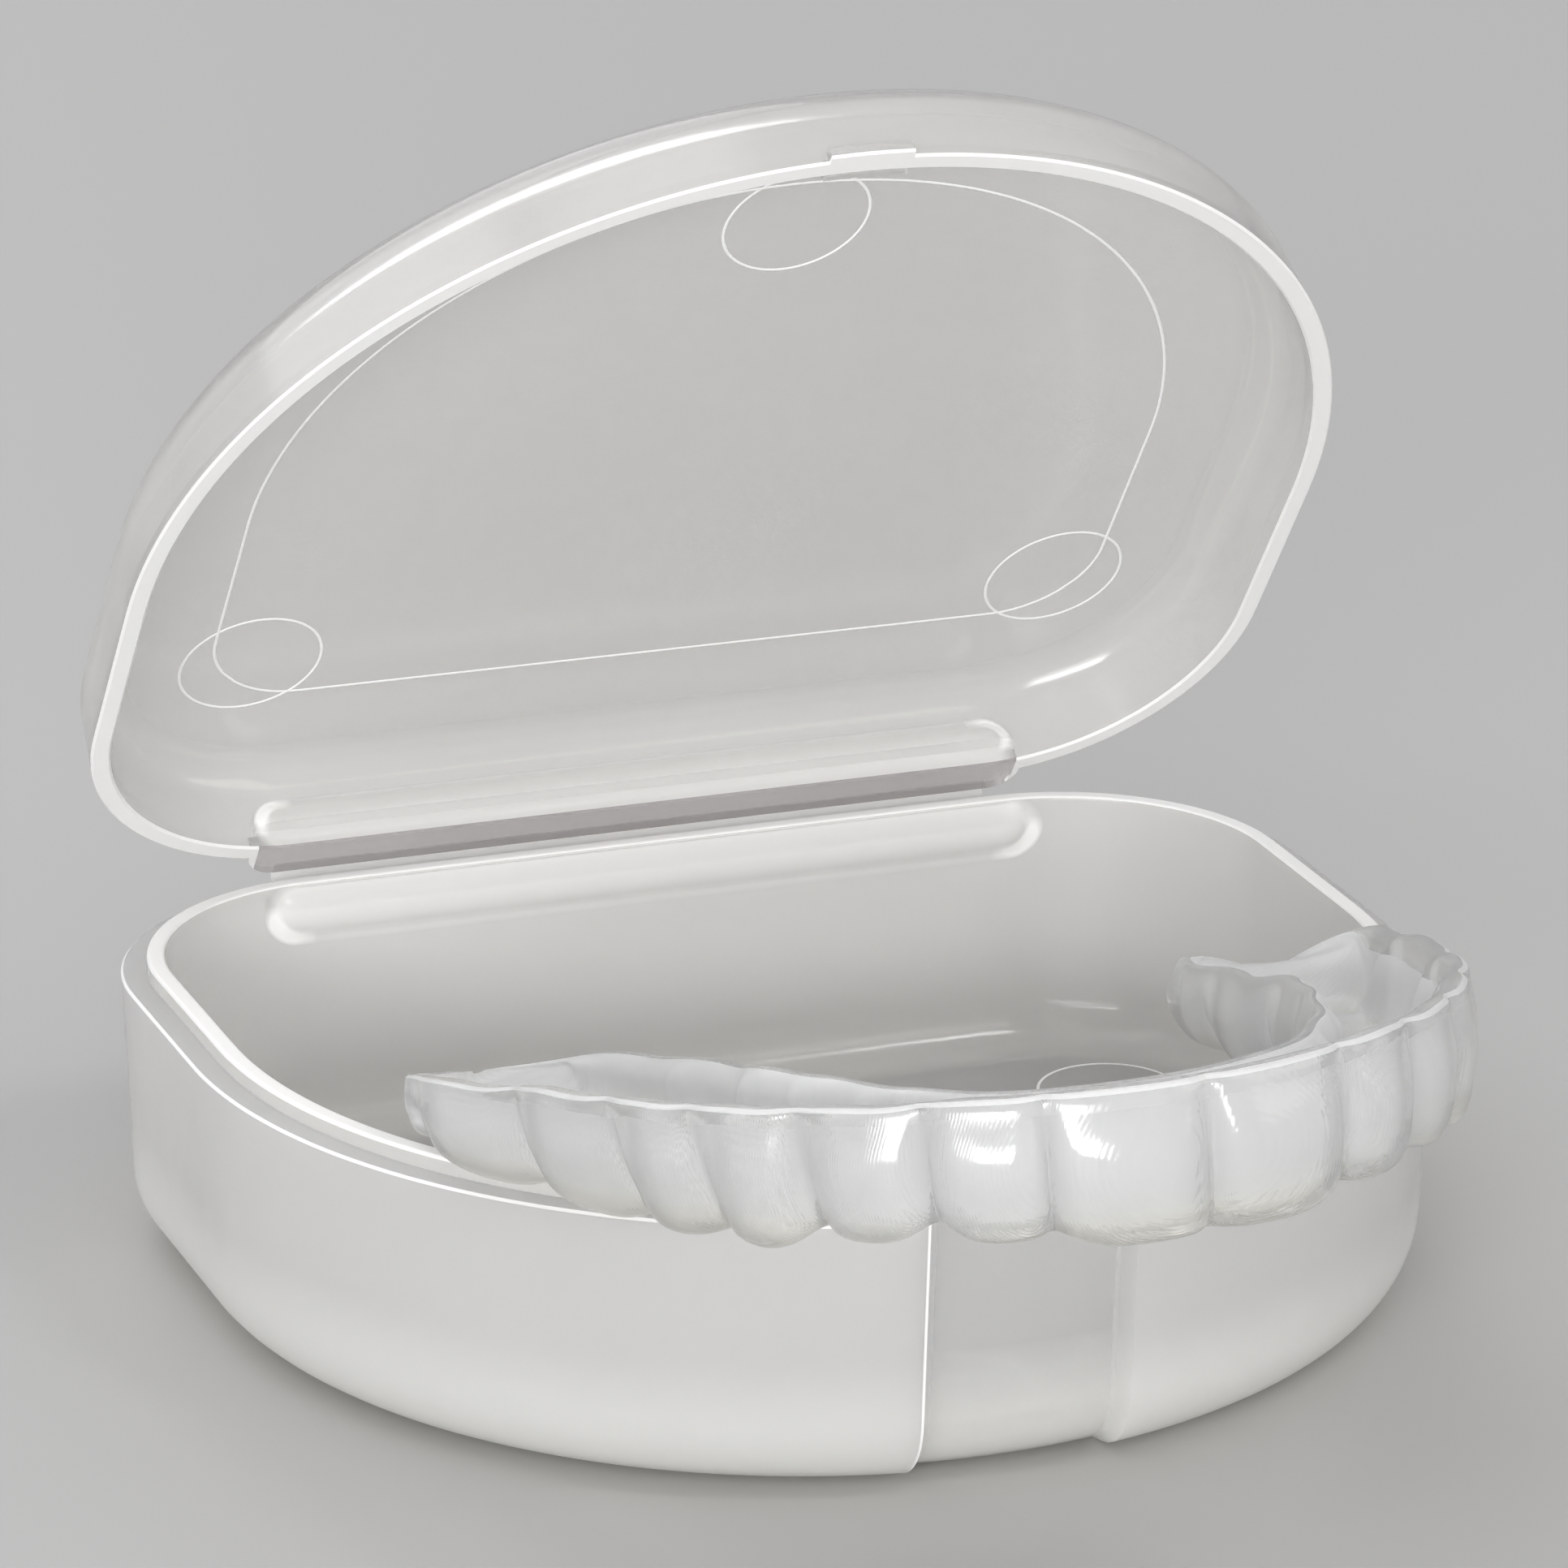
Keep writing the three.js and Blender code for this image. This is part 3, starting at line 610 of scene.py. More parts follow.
def case_base():
    """The tub: up the outside, over the ledge and the lip, and down the inside to the floor."""
    outside, inside, edge, recess, hinge_wall = range(5)
    axis_z = BASE_HEIGHT - FLANGE_THICKNESS
    lip_top = BASE_HEIGHT + LIP_HEIGHT
    low_z = FLOOR_THICKNESS + BASE_INNER_RADIUS
    bands = []

    def outer(z, inset, slot, back=None):
        move = back or cove(HALF_DEPTH, axis_z, BASE_COVE_RADIUS, 0, z)
        bands.append((case_ring(inset, z, recess_inset, move), slot))

    def inner(z, inset, slot):
        move = cove(HALF_DEPTH, axis_z, BASE_COVE_RADIUS, COVE_WALL, z)
        bands.append((case_ring(inset, z, None, move), slot))

    def wall_inset(z):
        return BASE_DRAFT * (BASE_HEIGHT - z) / (BASE_HEIGHT - BASE_FOOT_RADIUS)

    def inner_inset(z):
        return BASE_WALL + BASE_INNER_DRAFT * (lip_top - z) / (lip_top - low_z)

    def ledge_back(x, y):
        return max(y, flange_edge(x, y) - EDGE_BREAK)

    foot = rounded_edge(0, BASE_FOOT_RADIUS, BASE_DRAFT, 1)
    outer(0, foot[0][1] + FLAT_MARGIN, outside)
    for z, inset in foot:
        outer(z, inset, outside)
    for z in OUTER_WALL_LEVELS:
        outer(z, wall_inset(z), outside)
    cove_low = axis_z - BASE_COVE_RADIUS
    for i in range(FILLET_STEPS + 1):
        z = axis_z - BASE_COVE_RADIUS * math.cos(math.pi / 2 * i / FILLET_STEPS)
        outer(max(z, cove_low + LEVEL_GAP), wall_inset(z), outside)
    outer(axis_z, wall_inset(axis_z), outside, flange_edge)
    outer(BASE_HEIGHT - EDGE_BREAK, wall_inset(BASE_HEIGHT - EDGE_BREAK), edge, flange_edge)
    outer(BASE_HEIGHT, EDGE_BREAK, outside, ledge_back)

    bands.append((case_ring(LEDGE_WIDTH, BASE_HEIGHT, notch_inset), inside))
    notch_top = BASE_HEIGHT + CATCH_LIFT + CATCH_HEIGHT + CATCH_LIFT
    notch_end = min(notch_top, lip_top - LIP_EDGE_BREAK) - STEP_GAP
    bands.append((case_ring(LEDGE_WIDTH, notch_end, notch_inset), inside))
    for z, inset in reversed(rounded_edge(lip_top, LIP_EDGE_BREAK, LEDGE_WIDTH, -1)):
        bands.append((case_ring(inset, z), edge))
    for z, inset in rounded_edge(lip_top, LIP_EDGE_BREAK, 0, -1):
        slot = edge if z > lip_top - LIP_EDGE_BREAK / 2 else inside
        bands.append((case_ring(BASE_WALL - inset, z), slot))

    bulge = BASE_COVE_RADIUS + COVE_WALL
    for i in range(2 * FILLET_STEPS + 1):
        z = axis_z + bulge * math.cos(math.pi * i / (2 * FILLET_STEPS))
        if z < lip_top - LIP_EDGE_BREAK:
            inner(z, inner_inset(z), inside)
    for z in INNER_WALL_LEVELS:
        inner(z, inner_inset(z), inside)
    floor_edge = rounded_edge(FLOOR_THICKNESS, BASE_INNER_RADIUS, BASE_WALL + BASE_INNER_DRAFT, 1)
    for z, inset in reversed(floor_edge):
        inner(z, inset, inside)
    inner(FLOOR_THICKNESS, floor_edge[0][1] + FLAT_MARGIN, inside)

    materials = [BASE_PLASTIC, BASE_INSIDE, FROSTED_EDGE, RECESS_PLASTIC, BASE_HINGE_WALL]
    base = loft("case_base_shell", bands, materials)
    for polygon in base.data.polygons:
        middle = polygon.center / MM
        if by_hinge(middle) and polygon.material_index == inside and middle.z > BASE_HEIGHT / 2:
            polygon.material_index = hinge_wall
        at_front = middle.y < -HALF_DEPTH / 2 and middle.z < BASE_HEIGHT - EDGE_BREAK
        at_recess = abs(middle.x) < RECESS_HALF - RECESS_EDGE
        if at_front and at_recess and polygon.material_index in (outside, inside):
            polygon.material_index = recess
        # Only the recess's left edge is made frosted white: a painted highlight line
        at_highlight_corner = RECESS_HALF + RECESS_EDGE / 4 < -middle.x < RECESS_HALF + RECESS_EDGE * 0.8
        if at_front and at_highlight_corner and polygon.material_index == outside:
            polygon.material_index = edge
    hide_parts("case_base")
    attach(base, "base")


# Case lid, drawn closed with its rim at height 0 and then turned open about the hinge line


def lid_place():
    """The turn and move that open the lid."""
    shift = Matrix.Translation((0, -HINGE_Y * MM, 0))
    turn = Matrix.Rotation(-LID_OPEN_ANGLE, 4, "X")
    return Matrix.Translation((0, HINGE_Y * MM, BASE_HEIGHT * MM)) @ turn @ shift


def case_lid():
    """The tray, closed: in from the outside of the plate, down to the rim, and up the inside."""
    plastic, plate, edge, flange, hinge_wall = range(5)
    cove_y = HALF_DEPTH + LID_COVE_OUTSET
    cove_z = LID_FLANGE_THICKNESS
    plate_z = LID_DEPTH - LID_PLATE_THICKNESS
    bands = []

    def bead_inset(x):
        return -LIFT_BEAD_REACH if abs(x) < CATCH_HALF else 0

    def nub_inset(x):
        return CATCH_REACH if abs(x) < CATCH_HALF else 0

    def outer_inset(z):
        return LID_DRAFT * z / (LID_DEPTH - LID_EDGE_RADIUS)

    def inner_inset(z):
        return LID_RIM_WIDTH + LID_DRAFT * z / (plate_z - LID_INNER_RADIUS)

    def flange_break(x, y):
        return max(y, lid_flange_edge(x, y) - EDGE_BREAK)

    def level(z, inset, slot, front=None, back=None):
        bands.append((list(reversed(case_ring(inset, z, front, back))), slot))

    def inner(z, inset):
        level(z, inset, plastic, None, cove(cove_y, cove_z, LID_COVE_RADIUS, COVE_WALL, z))

    top = rounded_edge(LID_DEPTH, LID_EDGE_RADIUS, LID_DRAFT, -1)
    level(LID_DEPTH, top[0][1] + FLAT_MARGIN, plate)
    for z, inset in top:
        level(z, inset, plastic)
    for i in range(FILLET_STEPS + 1):
        z = cove_z + LID_COVE_RADIUS * math.cos(math.pi / 2 * i / FILLET_STEPS)
        level(z, outer_inset(z), plastic, None, cove(cove_y, cove_z, LID_COVE_RADIUS, 0, z))
    level(cove_z, outer_inset(cove_z), plastic, None, lid_flange_edge)
    level(LIFT_BEAD_HEIGHT, outer_inset(LIFT_BEAD_HEIGHT), plastic, None, lid_flange_edge)
    level(LIFT_BEAD_HEIGHT, outer_inset(LIFT_BEAD_HEIGHT), plastic, bead_inset, lid_flange_edge)
    level(EDGE_BREAK, outer_inset(EDGE_BREAK), edge, bead_inset, lid_flange_edge)

    level(0, EDGE_BREAK, edge, bead_inset, flange_break)
    level(0, LID_RIM_WIDTH - EDGE_BREAK, edge)
    level(CATCH_LIFT, LID_RIM_WIDTH, plastic)
    level(CATCH_LIFT, LID_RIM_WIDTH, plastic, nub_inset)
    level(CATCH_LIFT + CATCH_HEIGHT, LID_RIM_WIDTH, plastic, nub_inset)
    level(CATCH_LIFT + CATCH_HEIGHT, LID_RIM_WIDTH, plastic)

    bulge_low = LIP_HEIGHT + LID_LIP_CLEARANCE
    level(bulge_low, inner_inset(bulge_low), plastic)
    bulge = LID_COVE_RADIUS + COVE_WALL
    for i in range(2 * FILLET_STEPS + 1):
        z = cove_z - bulge * math.cos(math.pi * i / (2 * FILLET_STEPS))
        if bulge_low <= z < plate_z - LID_INNER_RADIUS:
            inner(z, inner_inset(z))
    corner = rounded_edge(plate_z, LID_INNER_RADIUS, LID_RIM_WIDTH + LID_DRAFT, -1)
    for z, inset in reversed(corner):
        inner(z, inset)
    level(plate_z, corner[0][1] + FLAT_MARGIN, plate)

    materials = [LID_PLASTIC, LID_PLATE, FROSTED_EDGE, FLANGE_SHADED_PLASTIC, LID_HINGE_WALL]
    lid = loft("case_lid_shell", bands, materials)
    for polygon in lid.data.polygons:
        middle = polygon.center / MM
        if by_hinge(middle) and polygon.material_index == plastic and middle.y < HALF_DEPTH:
            polygon.material_index = hinge_wall
        # The lid flange's underside takes the darkened plastic: painted shade
        on_flange = abs(middle.x) < HINGE_LENGTH / 2 - HINGE_CORNER_RADIUS / 4 and middle.y > 0
        if on_flange and middle.z < EDGE_BREAK and middle.y < LID_FLANGE_EDGE_Y - EDGE_BREAK:
            polygon.material_index = flange
    move_into_place(lid, lid_place())
    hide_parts("case_lid")
    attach(lid, "lid")


# Web of the living hinge


def hinge_web():
    """A thin strip bent from the base's flange to the lid's, at the lid's open angle."""
    base_way = -math.pi / 2
    turn = math.pi - LID_OPEN_ANGLE
    lid_way = base_way + turn
    straight = HINGE_Y - FLANGE_EDGE_Y
    path = [(base_way, -straight), (base_way, -straight / 2)]
    path += [(base_way + turn * i / WEB_STEPS, 0) for i in range(WEB_STEPS + 1)]
    path += [(lid_way, straight / 2), (lid_way, straight)]
    half = HINGE_LENGTH / 2 - HINGE_CORNER_RADIUS
    outer = WEB_RADIUS + WEB_THICKNESS / 2
    inner = WEB_RADIUS - WEB_THICKNESS / 2
    bands = []
    for angle, run in path:
        ring = [
            (
                x,
                HINGE_Y + radius * math.cos(angle) - run * math.sin(angle),
                BASE_HEIGHT + radius * math.sin(angle) + run * math.cos(angle),
            )
            for x, radius in ((half, outer), (-half, outer), (-half, inner), (half, inner))
        ]
        bands.append((ring, 0))
    web = loft("hinge_web_strip", bands, [FROSTED_EDGE], WEB_SHARP_ANGLE)
    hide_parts("hinge_web")
    # The bend runs from just below the hinge line to just above it, towards the lid
    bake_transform(web)


# Moulded lines: the panel edge and the round ejector marks

LINE_WIDTH = 0.22
LINE_HEIGHT = 0.05
EJECTOR_RADIUS = 4.7
EJECTORS = {"left": (-27.8, 20.0), "right": (27.8, 20.0), "front": (0, -20.9)}
PANEL_INSET = 9.4
PANEL_BACK_INSET = 10.4

# A line's section, in shares of its width and height
LINE_PROFILE = [(-0.5, -0.2), (-0.3, 0.7), (0, 1), (0.3, 0.7), (0.5, -0.2)]


def raised_line(name, path, face_z, height):
    """A low, rounded ridge round a closed path of (x, y) on a flat face; a negative height points down."""
    count = len(path)
    size = len(LINE_PROFILE)
    points = []
    for i, (x, y) in enumerate(path):
        ahead = path[(i + 1) % count]
        behind = path[i - 1]
        way = Vector((ahead[0] - behind[0], ahead[1] - behind[1])).normalized() * LINE_WIDTH
        points += [(x + way.y * side, y - way.x * side, face_z + up * height) for side, up in LINE_PROFILE]
    faces = []
    for i in range(count):
        low = i * size
        high = (i + 1) % count * size
        for k in range(size):
            n = (k + 1) % size
            faces.append((low + k, high + k, high + n, low + n))
    return new_mesh_object(name, points, faces, [0] * len(faces), [MOULDED_LINE], LINE_SHARP_ANGLE)


def ejector_lines(owner, face_z, height):
    """The three round ejector marks on a flat face of the lid or the base."""
    lines = []
    for side, (x, y) in EJECTORS.items():
        angles = [2 * math.pi / CIRCLE_STEPS * i for i in range(CIRCLE_STEPS)]
        path = [(x + EJECTOR_RADIUS * math.cos(a), y + EJECTOR_RADIUS * math.sin(a)) for a in angles]
        lines.append(raised_line(f"{owner}_ejector_{side}", path, face_z, height))
    return lines


def base_lines():
    for line in ejector_lines("base", FLOOR_THICKNESS, LINE_HEIGHT):
        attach(line, "base")


def lid_lines():
    plate_z = LID_DEPTH - LID_PLATE_THICKNESS
    squeeze = (HALF_DEPTH - PANEL_BACK_INSET) / (HALF_DEPTH - PANEL_INSET)
    panel = [(x, y * squeeze if y > 0 else y) for x, y, _ in case_ring(PANEL_INSET, 0)]
    lines = ejector_lines("lid", plate_z, -LINE_HEIGHT)
    lines.append(raised_line("lid_panel_edge", panel, plate_z, -LINE_HEIGHT))
    for line in lines:
        line.data.transform(lid_place())
        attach(line, "lid")


# Guard: one section carried along an arch of seven teeth on each side

ARCH_HALF_WIDTH = 31.9
ARCH_DEPTH = 44.4
GUARD_HEIGHT = 8.4
GUARD_ACROSS = 14.2
GUARD_WALL = 1.7
GUARD_RIM = 1.3
GUARD_FLOOR = 1
GUARD_END_LENGTH = 4.2
GUARD_END_HEIGHT = 1.8
GROOVE_DEPTH = 0.8
GROOVE_WIDTH = 1.1
FRONT_GROOVE_WIDTH = 0.75
FRONT_GROOVE_REACH = 20
RIDGE_SIZE = 1.3
NOTCH_WIDTH = 1.8
MIDDLE_NOTCH = -0.7
TOOTH_BULGE = 0.5
EDGE_INSET = 2.1
WALL_FALL_LENGTH = 10
LEFT_ARM = dict(reach=63, heel_length=10, end_dip=0.3, outer_end=0.85, inner_end=0.65)
RIGHT_ARM = dict(reach=57.5, heel_length=5, end_dip=2.4, outer_end=1, inner_end=1)
GUARD_SHIFT = 0.2
GUARD_YAW = math.radians(1.8)
GUARD_PITCH = math.radians(-9.1)
GUARD_ROLL = math.radians(-1.6)

# How finely the guard is cut
STATIONS_PER_TOOTH = 18
END_STATIONS = 20
END_STATION_GAP = 0.1
SECTION_STEPS = 4
ARCH_STEPS = 40
TANGENT_STEP = 0.6

# Shares of the arch, of the guard's width and of its height, from the middle tooth to the last
TEETH_SHARES = [
    dict(end=(0.2962, 0.0428), across=0.521, edge=-0.101, notch=0.018,
         outer=1, inner=0.87, fossa=0, lean=0, slant=0),
    dict(end=(0.4859, 0.1273), across=0.521, edge=-0.012, notch=0.107,
         outer=0.99, inner=0.87, fossa=0, lean=0, slant=0.02),
    dict(end=(0.6505, 0.2489), across=0.606, edge=-0.018, notch=0.048,
         outer=0.94, inner=0.865, fossa=0.02, lean=0.05, slant=0.08),
    dict(end=(0.7712, 0.3863), across=0.718, edge=-0.107, notch=-0.036,
         outer=0.9, inner=0.86, fossa=0.12, lean=0.1, slant=0.12),
    dict(end=(0.848, 0.5315), across=0.789, edge=-0.095, notch=-0.036,
         outer=0.86, inner=0.83, fossa=0.14, lean=0.15, slant=0.17),
    dict(end=(0.9185, 0.7568), across=0.915, edge=-0.095, notch=-0.012,
         outer=0.79, inner=0.71, fossa=0.16, lean=0.17, slant=0.16),
    dict(end=(1, 1), across=1, edge=-0.054, notch=0,
         outer=0.64, inner=0.55, fossa=0.12, lean=0.08, slant=0.04),
]


def catmull_rom(points, steps):
    """Points along an open centripetal spline through the given points, steps to each stretch."""
    points = [np.array(p, float) for p in points]
    ends = [2 * points[0] - points[1], *points, 2 * points[-1] - points[-2]]
    line = []
    for i in range(1, len(ends) - 2):
        p0, p1, p2, p3 = ends[i - 1:i + 3]
        d0, d1, d2 = (max(math.sqrt(math.dist(a, b)), 1e-4) for a, b in ((p0, p1), (p1, p2), (p2, p3)))
        t1 = ((p1 - p0) / d0 - (p2 - p0) / (d0 + d1) + (p2 - p1) / d1) * d1
        t2 = ((p2 - p1) / d1 - (p3 - p1) / (d1 + d2) + (p3 - p2) / d2) * d1
        for k in range(steps):
            t = k / steps
            line.append(
                p1 + t1 * t + (3 * (p2 - p1) - 2 * t1 - t2) * t ** 2 + (2 * (p1 - p2) + t1 + t2) * t ** 3
            )
    line.append(points[-1])
    return np.array(line)


def arch_line():
    """The line of the guard's outer face in plan, from the left end round the front to the right."""
    ends = [(ARCH_HALF_WIDTH * t["end"][0], ARCH_DEPTH * t["end"][1]) for t in TEETH_SHARES]
    return catmull_rom([(-x, y) for x, y in reversed(ends)] + [(0, 0)] + ends, ARCH_STEPS)


ARCH = arch_line()
ARCH_LENGTHS = np.concatenate([[0], np.cumsum(np.linalg.norm(np.diff(ARCH, axis=0), axis=1))])
HALF_ARCH = ARCH_LENGTHS[-1] / 2
TOOTH_ENDS = [
    ARCH_LENGTHS[(len(TEETH_SHARES) + 1 + i) * ARCH_STEPS] - HALF_ARCH for i in range(len(TEETH_SHARES))
]


def arch_place(s):
    """The place and the outward direction at arc length s from the middle, negative on the left."""

    def along(at):
        return [np.interp(at, ARCH_LENGTHS, ARCH[:, axis]) for axis in (0, 1)]

    at = min(max(s + HALF_ARCH, 0), HALF_ARCH * 2)
    x, y = along(at)
    x_before, y_before = along(max(at - TANGENT_STEP, 0))
    x_after, y_after = along(min(at + TANGENT_STEP, HALF_ARCH * 2))
    length = math.hypot(x_after - x_before, y_after - y_before)
    along_x = (x_after - x_before) / length
    along_y = (y_after - y_before) / length
    past = s + HALF_ARCH - at
    return x + along_x * past, y + along_y * past, along_y, -along_x


def tooth_share(key, reach):
    """A tooth's share, eased between the middles of neighbouring teeth."""
    middles = [(end + (TOOTH_ENDS[i - 1] if i else 0)) / 2 for i, end in enumerate(TOOTH_ENDS)]
    after = next((i for i, middle in enumerate(middles) if reach < middle), None)
    if after == 0:
        return TEETH_SHARES[0][key]
    if after is None:
        return TEETH_SHARES[-1][key]
    share = (reach - middles[after - 1]) / (middles[after] - middles[after - 1])
    eased = (1 - math.cos(math.pi * share)) / 2
    before_value = TEETH_SHARES[after - 1][key]
    return before_value + (TEETH_SHARES[after][key] - before_value) * eased


def tooth_phase(reach):
    """Distance to the nearest boundary between teeth, its notch, and the share through the tooth."""
    last = len(TEETH_SHARES) - 1
    at = next((i for i, end in enumerate(TOOTH_ENDS) if reach <= end), last)
    start = TOOTH_ENDS[at - 1] if at else 0
    before = reach - start
    after = HALF_ARCH - reach if at == last else TOOTH_ENDS[at] - reach
    share = min(before / (TOOTH_ENDS[at] - start), 1)
    if after < before:
        return after, GUARD_HEIGHT * TEETH_SHARES[at]["notch"], share
    return before, GUARD_HEIGHT * TEETH_SHARES[at - 1]["notch"] if at else MIDDLE_NOTCH, share


def arm_of(s):
    """The arm of the guard at arc length s."""
    return LEFT_ARM if s < 0 else RIGHT_ARM


def guard_section(s):
    """Cross-section of the tray at arc length s, as (out, z) from the line of its outer face.

    It runs down the outer face, under the cusps, up the inner face and back through the channel.
    part is a share of a wall's height, from 0 at its foot to 1 at its top.
    """
    reach = abs(s)
    arm = arm_of(s)
    to_end = arm["reach"] - reach
    into_end = max(1 - to_end / GUARD_END_LENGTH, 0)
    into_heel = max(1 - to_end / arm["heel_length"], 0)
    closing = max(1 - into_end ** 3, 0) ** (1 / 3)
    across = GUARD_ACROSS * tooth_share("across", reach)
    slant = GUARD_HEIGHT * tooth_share("slant", reach)
    full_lean = GUARD_HEIGHT * tooth_share("lean", reach) * closing
    behind = smooth(reach / FRONT_GROOVE_REACH - 0.5)
    groove_width = FRONT_GROOVE_WIDTH + (GROOVE_WIDTH - FRONT_GROOVE_WIDTH) * behind

    def phase(part):
        return tooth_phase(reach + slant * (0.5 - part))

    def groove(part):
        return math.exp(-((phase(part)[0] / groove_width) ** 2))

    def bulge(part):
        return closing * (TOOTH_BULGE * math.sin(math.pi * phase(part)[2]) - GROOVE_DEPTH * groove(part))

    def lean(part):
        return full_lean * (part - 0.5)

    # The tops of both walls, which fall to one low edge at the end of the arm
    fall = 1 - math.sin(math.pi / 2 * min(to_end / WALL_FALL_LENGTH, 1))
    outer_full = GUARD_HEIGHT * tooth_share("outer", reach) * (1 - (1 - arm["outer_end"]) * fall)
    inner_full = GUARD_HEIGHT * tooth_share("inner", reach) * (1 - (1 - arm["inner_end"]) * fall)
    end_top = (outer_full + inner_full) / 2 - arm["end_dip"]

    # The underside, notched between teeth, which rises round the heel of the arm
    edge = GUARD_HEIGHT * tooth_share("edge", reach)
    gap, notch_height, _ = phase(0)
    open_edge = edge + (notch_height - edge) * math.exp(-((gap / NOTCH_WIDTH) ** 2))
    heel = 1 - math.sqrt(max(1 - into_heel ** 2, 0))
    bottom = open_edge + (end_top - GUARD_END_HEIGHT - open_edge) * heel
    least_top = bottom + GUARD_END_HEIGHT * 0.8
    outer_top = max(end_top + (outer_full - end_top) * closing, least_top)
    inner_top = max(end_top + (inner_full - end_top) * closing, least_top)

    # The floor of the channel, with a low ridge between teeth and shallow at the end
    shallow = min(outer_top, inner_top) - GUARD_END_HEIGHT / 3 * closing
    rising = smooth((GUARD_END_LENGTH - to_end) / GUARD_END_LENGTH * 2)
    open_floor = min(bottom + GUARD_FLOOR, shallow)
    floor_z = open_floor + (shallow - open_floor) * rising
    fossa = GUARD_HEIGHT * tooth_share("fossa", reach) * (1 - groove(0)) * closing
    ridge = RIDGE_SIZE * groove(0.3) * closing * (1 - rising)

    least_floor = bottom + fossa + GUARD_FLOOR * 0.8
    wall, rim = GUARD_WALL, GUARD_RIM
    inner_bulge = bulge(0.5)

    def rise(top, part):
        return bottom + (top - bottom) * part

    def channel(top, part):
        return floor_z + (top - floor_z) * part

    def outer(part, inset, bulging):
        return (bulge(part) * bulging + lean(part) - inset, rise(outer_top, part))

    points = [
        (bulge(1) / 3 + lean(1) - wall / 2, outer_top),
        outer(0.97, wall * 0.32, 0.4),
        outer(0.86, wall / 5, 0.5),
        outer(0.58, 0, 1),
        outer(0.32, wall / 12, 1),
        outer(0.13, wall / 4, 1),
        outer(0.03, wall * 0.6, 1),
        outer(0, EDGE_INSET, 0.5),
        (-across / 2, bottom + fossa),
        (EDGE_INSET - across - inner_bulge / 4, bottom + wall / 8),
        (wall * 0.75 - across - inner_bulge / 2, rise(inner_top, 0.08)),
        (wall / 4 - across - inner_bulge / 2, rise(inner_top, 0.3)),
        (-across - inner_bulge / 3, rise(inner_top, 0.6)),
        (wall / 4 - across, rise(inner_top, 0.88)),
        (wall / 2 - across, inner_top),
        (wall / 2 + rim / 2 - across, inner_top),
        (wall / 2 + rim - across + ridge / 3, channel(inner_top, 0.8)),
        (wall * 1.25 - across + ridge / 2, channel(inner_top, 0.35)),
        (wall * 1.6 - across + ridge / 2, floor_z + ridge / 2),
        (-across / 2, max(channel(inner_top, 0.04) + ridge - fossa / 2, least_floor)),
        (lean(0) - wall * 1.6 - ridge / 2, floor_z + ridge / 2),
        (lean(0.35) + bulge(0.35) / 3 - wall * 1.25 - ridge / 2, channel(outer_top, 0.35)),
        (lean(0.8) - wall / 2 - rim - ridge / 4, channel(outer_top, 0.8)),
        (lean(1) - wall / 2 - rim * 0.75, outer_top - rim * 0.12),
    ]
    centre = -across / 2
    return [(centre + (out - centre) * closing, z) for out, z in points]


# Stretches of the section, counted from its first point
RIM_STRETCH = 0
CHANNEL_STRETCHES = range(15, 22)


def guard_slot(stretch, to_end):
    """The index of a stretch's material: the rim's outer edge, whitened as a painted highlight, the inside
    of the channel or the rest.
    """
    rest, highlight_edge, inside = range(3)
    if stretch == RIM_STRETCH and to_end > GUARD_END_LENGTH / 3:
        return highlight_edge
    return inside if stretch in CHANNEL_STRETCHES else rest


def smooth_loop(points, steps):
    """The closed spline through a loop of points, steps to each stretch."""
    count = len(points)
    wrapped = [points[i % count] for i in range(-2, count + 3)]
    line = catmull_rom(wrapped, steps)
    return [tuple(p) for p in line[2 * steps:(count + 2) * steps]]


def arm_stations(arm):
    """Arc lengths at which one arm is cut: closer together by each boundary and at the closed end."""
    stations = []
    start = 0
    for end in TOOTH_ENDS:
        for i in range(STATIONS_PER_TOOTH):
            even = (i + 0.5) / STATIONS_PER_TOOTH
            stations.append(start + (end - start) * (even - math.sin(2 * math.pi * even) / (3 * math.pi)))
        start = end
    end_start = arm["reach"] - GUARD_END_LENGTH
    closings = [math.cos(math.pi / 2 * i / END_STATIONS) for i in range(END_STATIONS)]
    ends = [end_start + GUARD_END_LENGTH * (1 - closing ** 3) ** (1 / 3) for closing in closings]
    return [s for s in stations if s < end_start - END_STATION_GAP] + ends


def guard_turn():
    """How the guard is tilted as it lies on the case."""
    return (
        Matrix.Rotation(GUARD_YAW, 4, "Z")
        @ Matrix.Rotation(GUARD_PITCH, 4, "X")
        @ Matrix.Rotation(GUARD_ROLL, 4, "Y")
    )


def mouthguard():
    """The tray, made level and then tilted and moved so that its front and top meet the solid's."""
    bands = []
    for s in [-s for s in reversed(arm_stations(LEFT_ARM))] + [0] + arm_stations(RIGHT_ARM):
        x, y, out_x, out_y = arch_place(s)
        loop = smooth_loop(guard_section(s), SECTION_STEPS)
        to_end = arm_of(s)["reach"] - abs(s)
        slots = [guard_slot(i // SECTION_STEPS, to_end) for i in range(len(loop))]
        bands.append(([(x + out_x * out, y + out_y * out, z) for out, z in loop], slots))
    guard = loft("mouthguard_tray", bands, [GUARD_PLASTIC, GUARD_HIGHLIGHT_EDGE, GUARD_INSIDE], GUARD_SHARP_ANGLE)
    move_into_place(guard, guard_turn())
    (_, cad_front, _), (_, _, cad_top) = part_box("mouthguard")
    front = min(v.co.y for v in guard.data.vertices)
    top = max(v.co.z for v in guard.data.vertices)
    place = Vector((GUARD_SHIFT * MM, cad_front - front, cad_top - top))
    guard.data.transform(Matrix.Translation(place))
    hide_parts("mouthguard")
    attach(guard, "guard")


# Studio: floor, lamps and camera

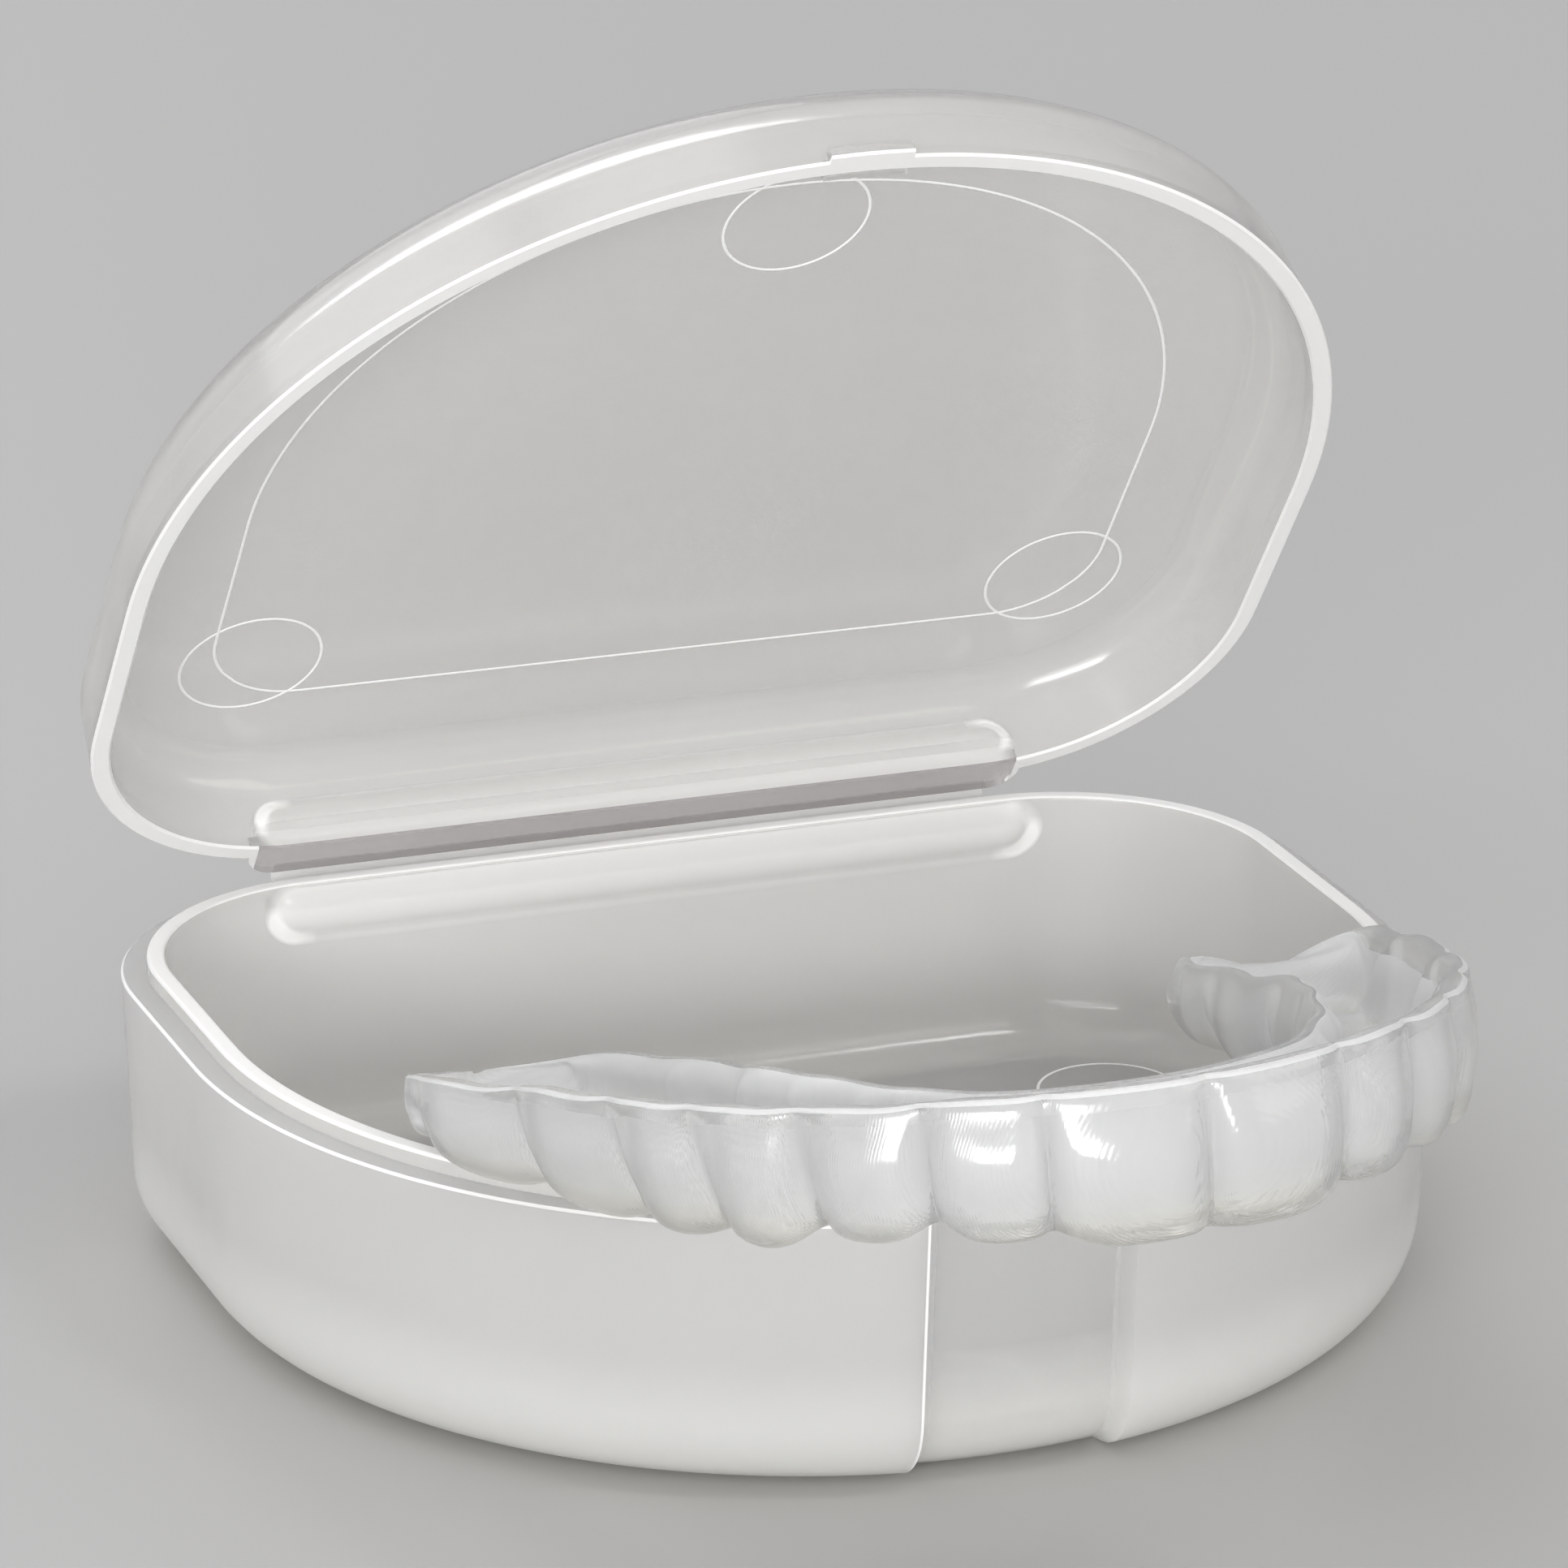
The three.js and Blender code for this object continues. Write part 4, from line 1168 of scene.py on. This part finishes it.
FLOOR_HALF = 3.0
FLOOR_COLOUR = (0.46, 0.457, 0.452)
WORLD_COLOUR = (0.86, 0.87, 0.89)
WORLD_STRENGTH = 0.5
LAMP_TARGET = (0, -0.01, 0.03)
LAMPS = [
    dict(name="key", place=(-0.36, 0.83, 0.8), size=(1.5, 0.9), power=6),
    dict(name="top", place=(-0.2, -0.1, 1.2), size=(1, 0.8), power=2.6),
    dict(name="fill", place=(0.9, -0.7, 0.78), size=(1, 1), power=5, colour=(1, 0.98, 0.95)),
    dict(name="front", place=(-0.97, -1.6, 0.45), size=(1.4, 0.4), power=26),
    dict(name="glint", place=(0.4, -0.36, 1), size=(0.1, 0.28), power=1),
]

# The camera, with its focal length as a share of the image's width
CAMERA_AZIMUTH = math.radians(-21.146)
CAMERA_ELEVATION = math.radians(19.347)
CAMERA_ROLL = math.radians(0.622)
CAMERA_DISTANCE = 522.417
CAMERA_TARGET = (1.451, 12.2, 29.112)
CAMERA_FOCAL_SHARE = 10168 / 1932


def floor():
    mesh = bpy.data.meshes.new("floor")
    corners = [(FLOOR_HALF * x, FLOOR_HALF * y, 0) for x, y in ((-1, -1), (1, -1), (1, 1), (-1, 1))]
    mesh.from_pydata(corners, [], [(0, 1, 2, 3)])
    nodes = Nodes("floor_paint")
    set_values(nodes.shader, Base_Color=(*FLOOR_COLOUR, 1), Roughness=0.6, Specular_IOR_Level=0.25)
    mesh.materials.append(nodes.material)
    ground = bpy.data.objects.new("floor", mesh)
    bpy.context.scene.collection.objects.link(ground)


def lamp(name, place, size, power, colour=(1, 1, 1)):
    """A rectangular lamp that points at the object."""
    light = bpy.data.lights.new(name, "AREA")
    light.shape = "RECTANGLE"
    light.size, light.size_y = size
    light.energy = power
    light.color = colour
    thing = bpy.data.objects.new(name, light)
    thing.location = place
    thing.rotation_euler = (Vector(LAMP_TARGET) - Vector(place)).to_track_quat("-Z", "Y").to_euler()
    bpy.context.scene.collection.objects.link(thing)


def studio():
    world = bpy.data.worlds.new("studio")
    bpy.context.scene.world = world
    world.use_nodes = True
    background = world.node_tree.nodes["Background"]
    background.inputs["Color"].default_value = (*WORLD_COLOUR, 1)
    background.inputs["Strength"].default_value = WORLD_STRENGTH
    for settings in LAMPS:
        lamp(**settings)


def photo_camera():
    """The camera at the photograph's viewing angle."""
    data = bpy.data.cameras.new("photo_camera")
    data.sensor_width = 36
    data.sensor_fit = "HORIZONTAL"
    data.lens = data.sensor_width * CAMERA_FOCAL_SHARE
    data.clip_start = 0.01
    data.clip_end = 20
    back = Vector((
        math.sin(CAMERA_AZIMUTH) * math.cos(CAMERA_ELEVATION),
        -math.cos(CAMERA_AZIMUTH) * math.cos(CAMERA_ELEVATION),
        math.sin(CAMERA_ELEVATION),
    ))
    right = Vector((0, 0, 1)).cross(back).normalized()
    up = back.cross(right)
    turned_right = right * math.cos(CAMERA_ROLL) + up * math.sin(CAMERA_ROLL)
    turned_up = up * math.cos(CAMERA_ROLL) - right * math.sin(CAMERA_ROLL)
    turn = Matrix((turned_right, turned_up, back)).transposed().to_4x4()
    place = (Vector(CAMERA_TARGET) + back * CAMERA_DISTANCE) * MM
    camera = bpy.data.objects.new("photo_camera", data)
    camera.matrix_world = Matrix.Translation(place) @ turn
    bpy.context.scene.collection.objects.link(camera)
    bpy.context.scene.camera = camera


case_base()
base_lines()
case_lid()
lid_lines()
hinge_web()
mouthguard()
floor()
studio()
photo_camera()
bpy.context.scene.view_settings.view_transform = "Standard"
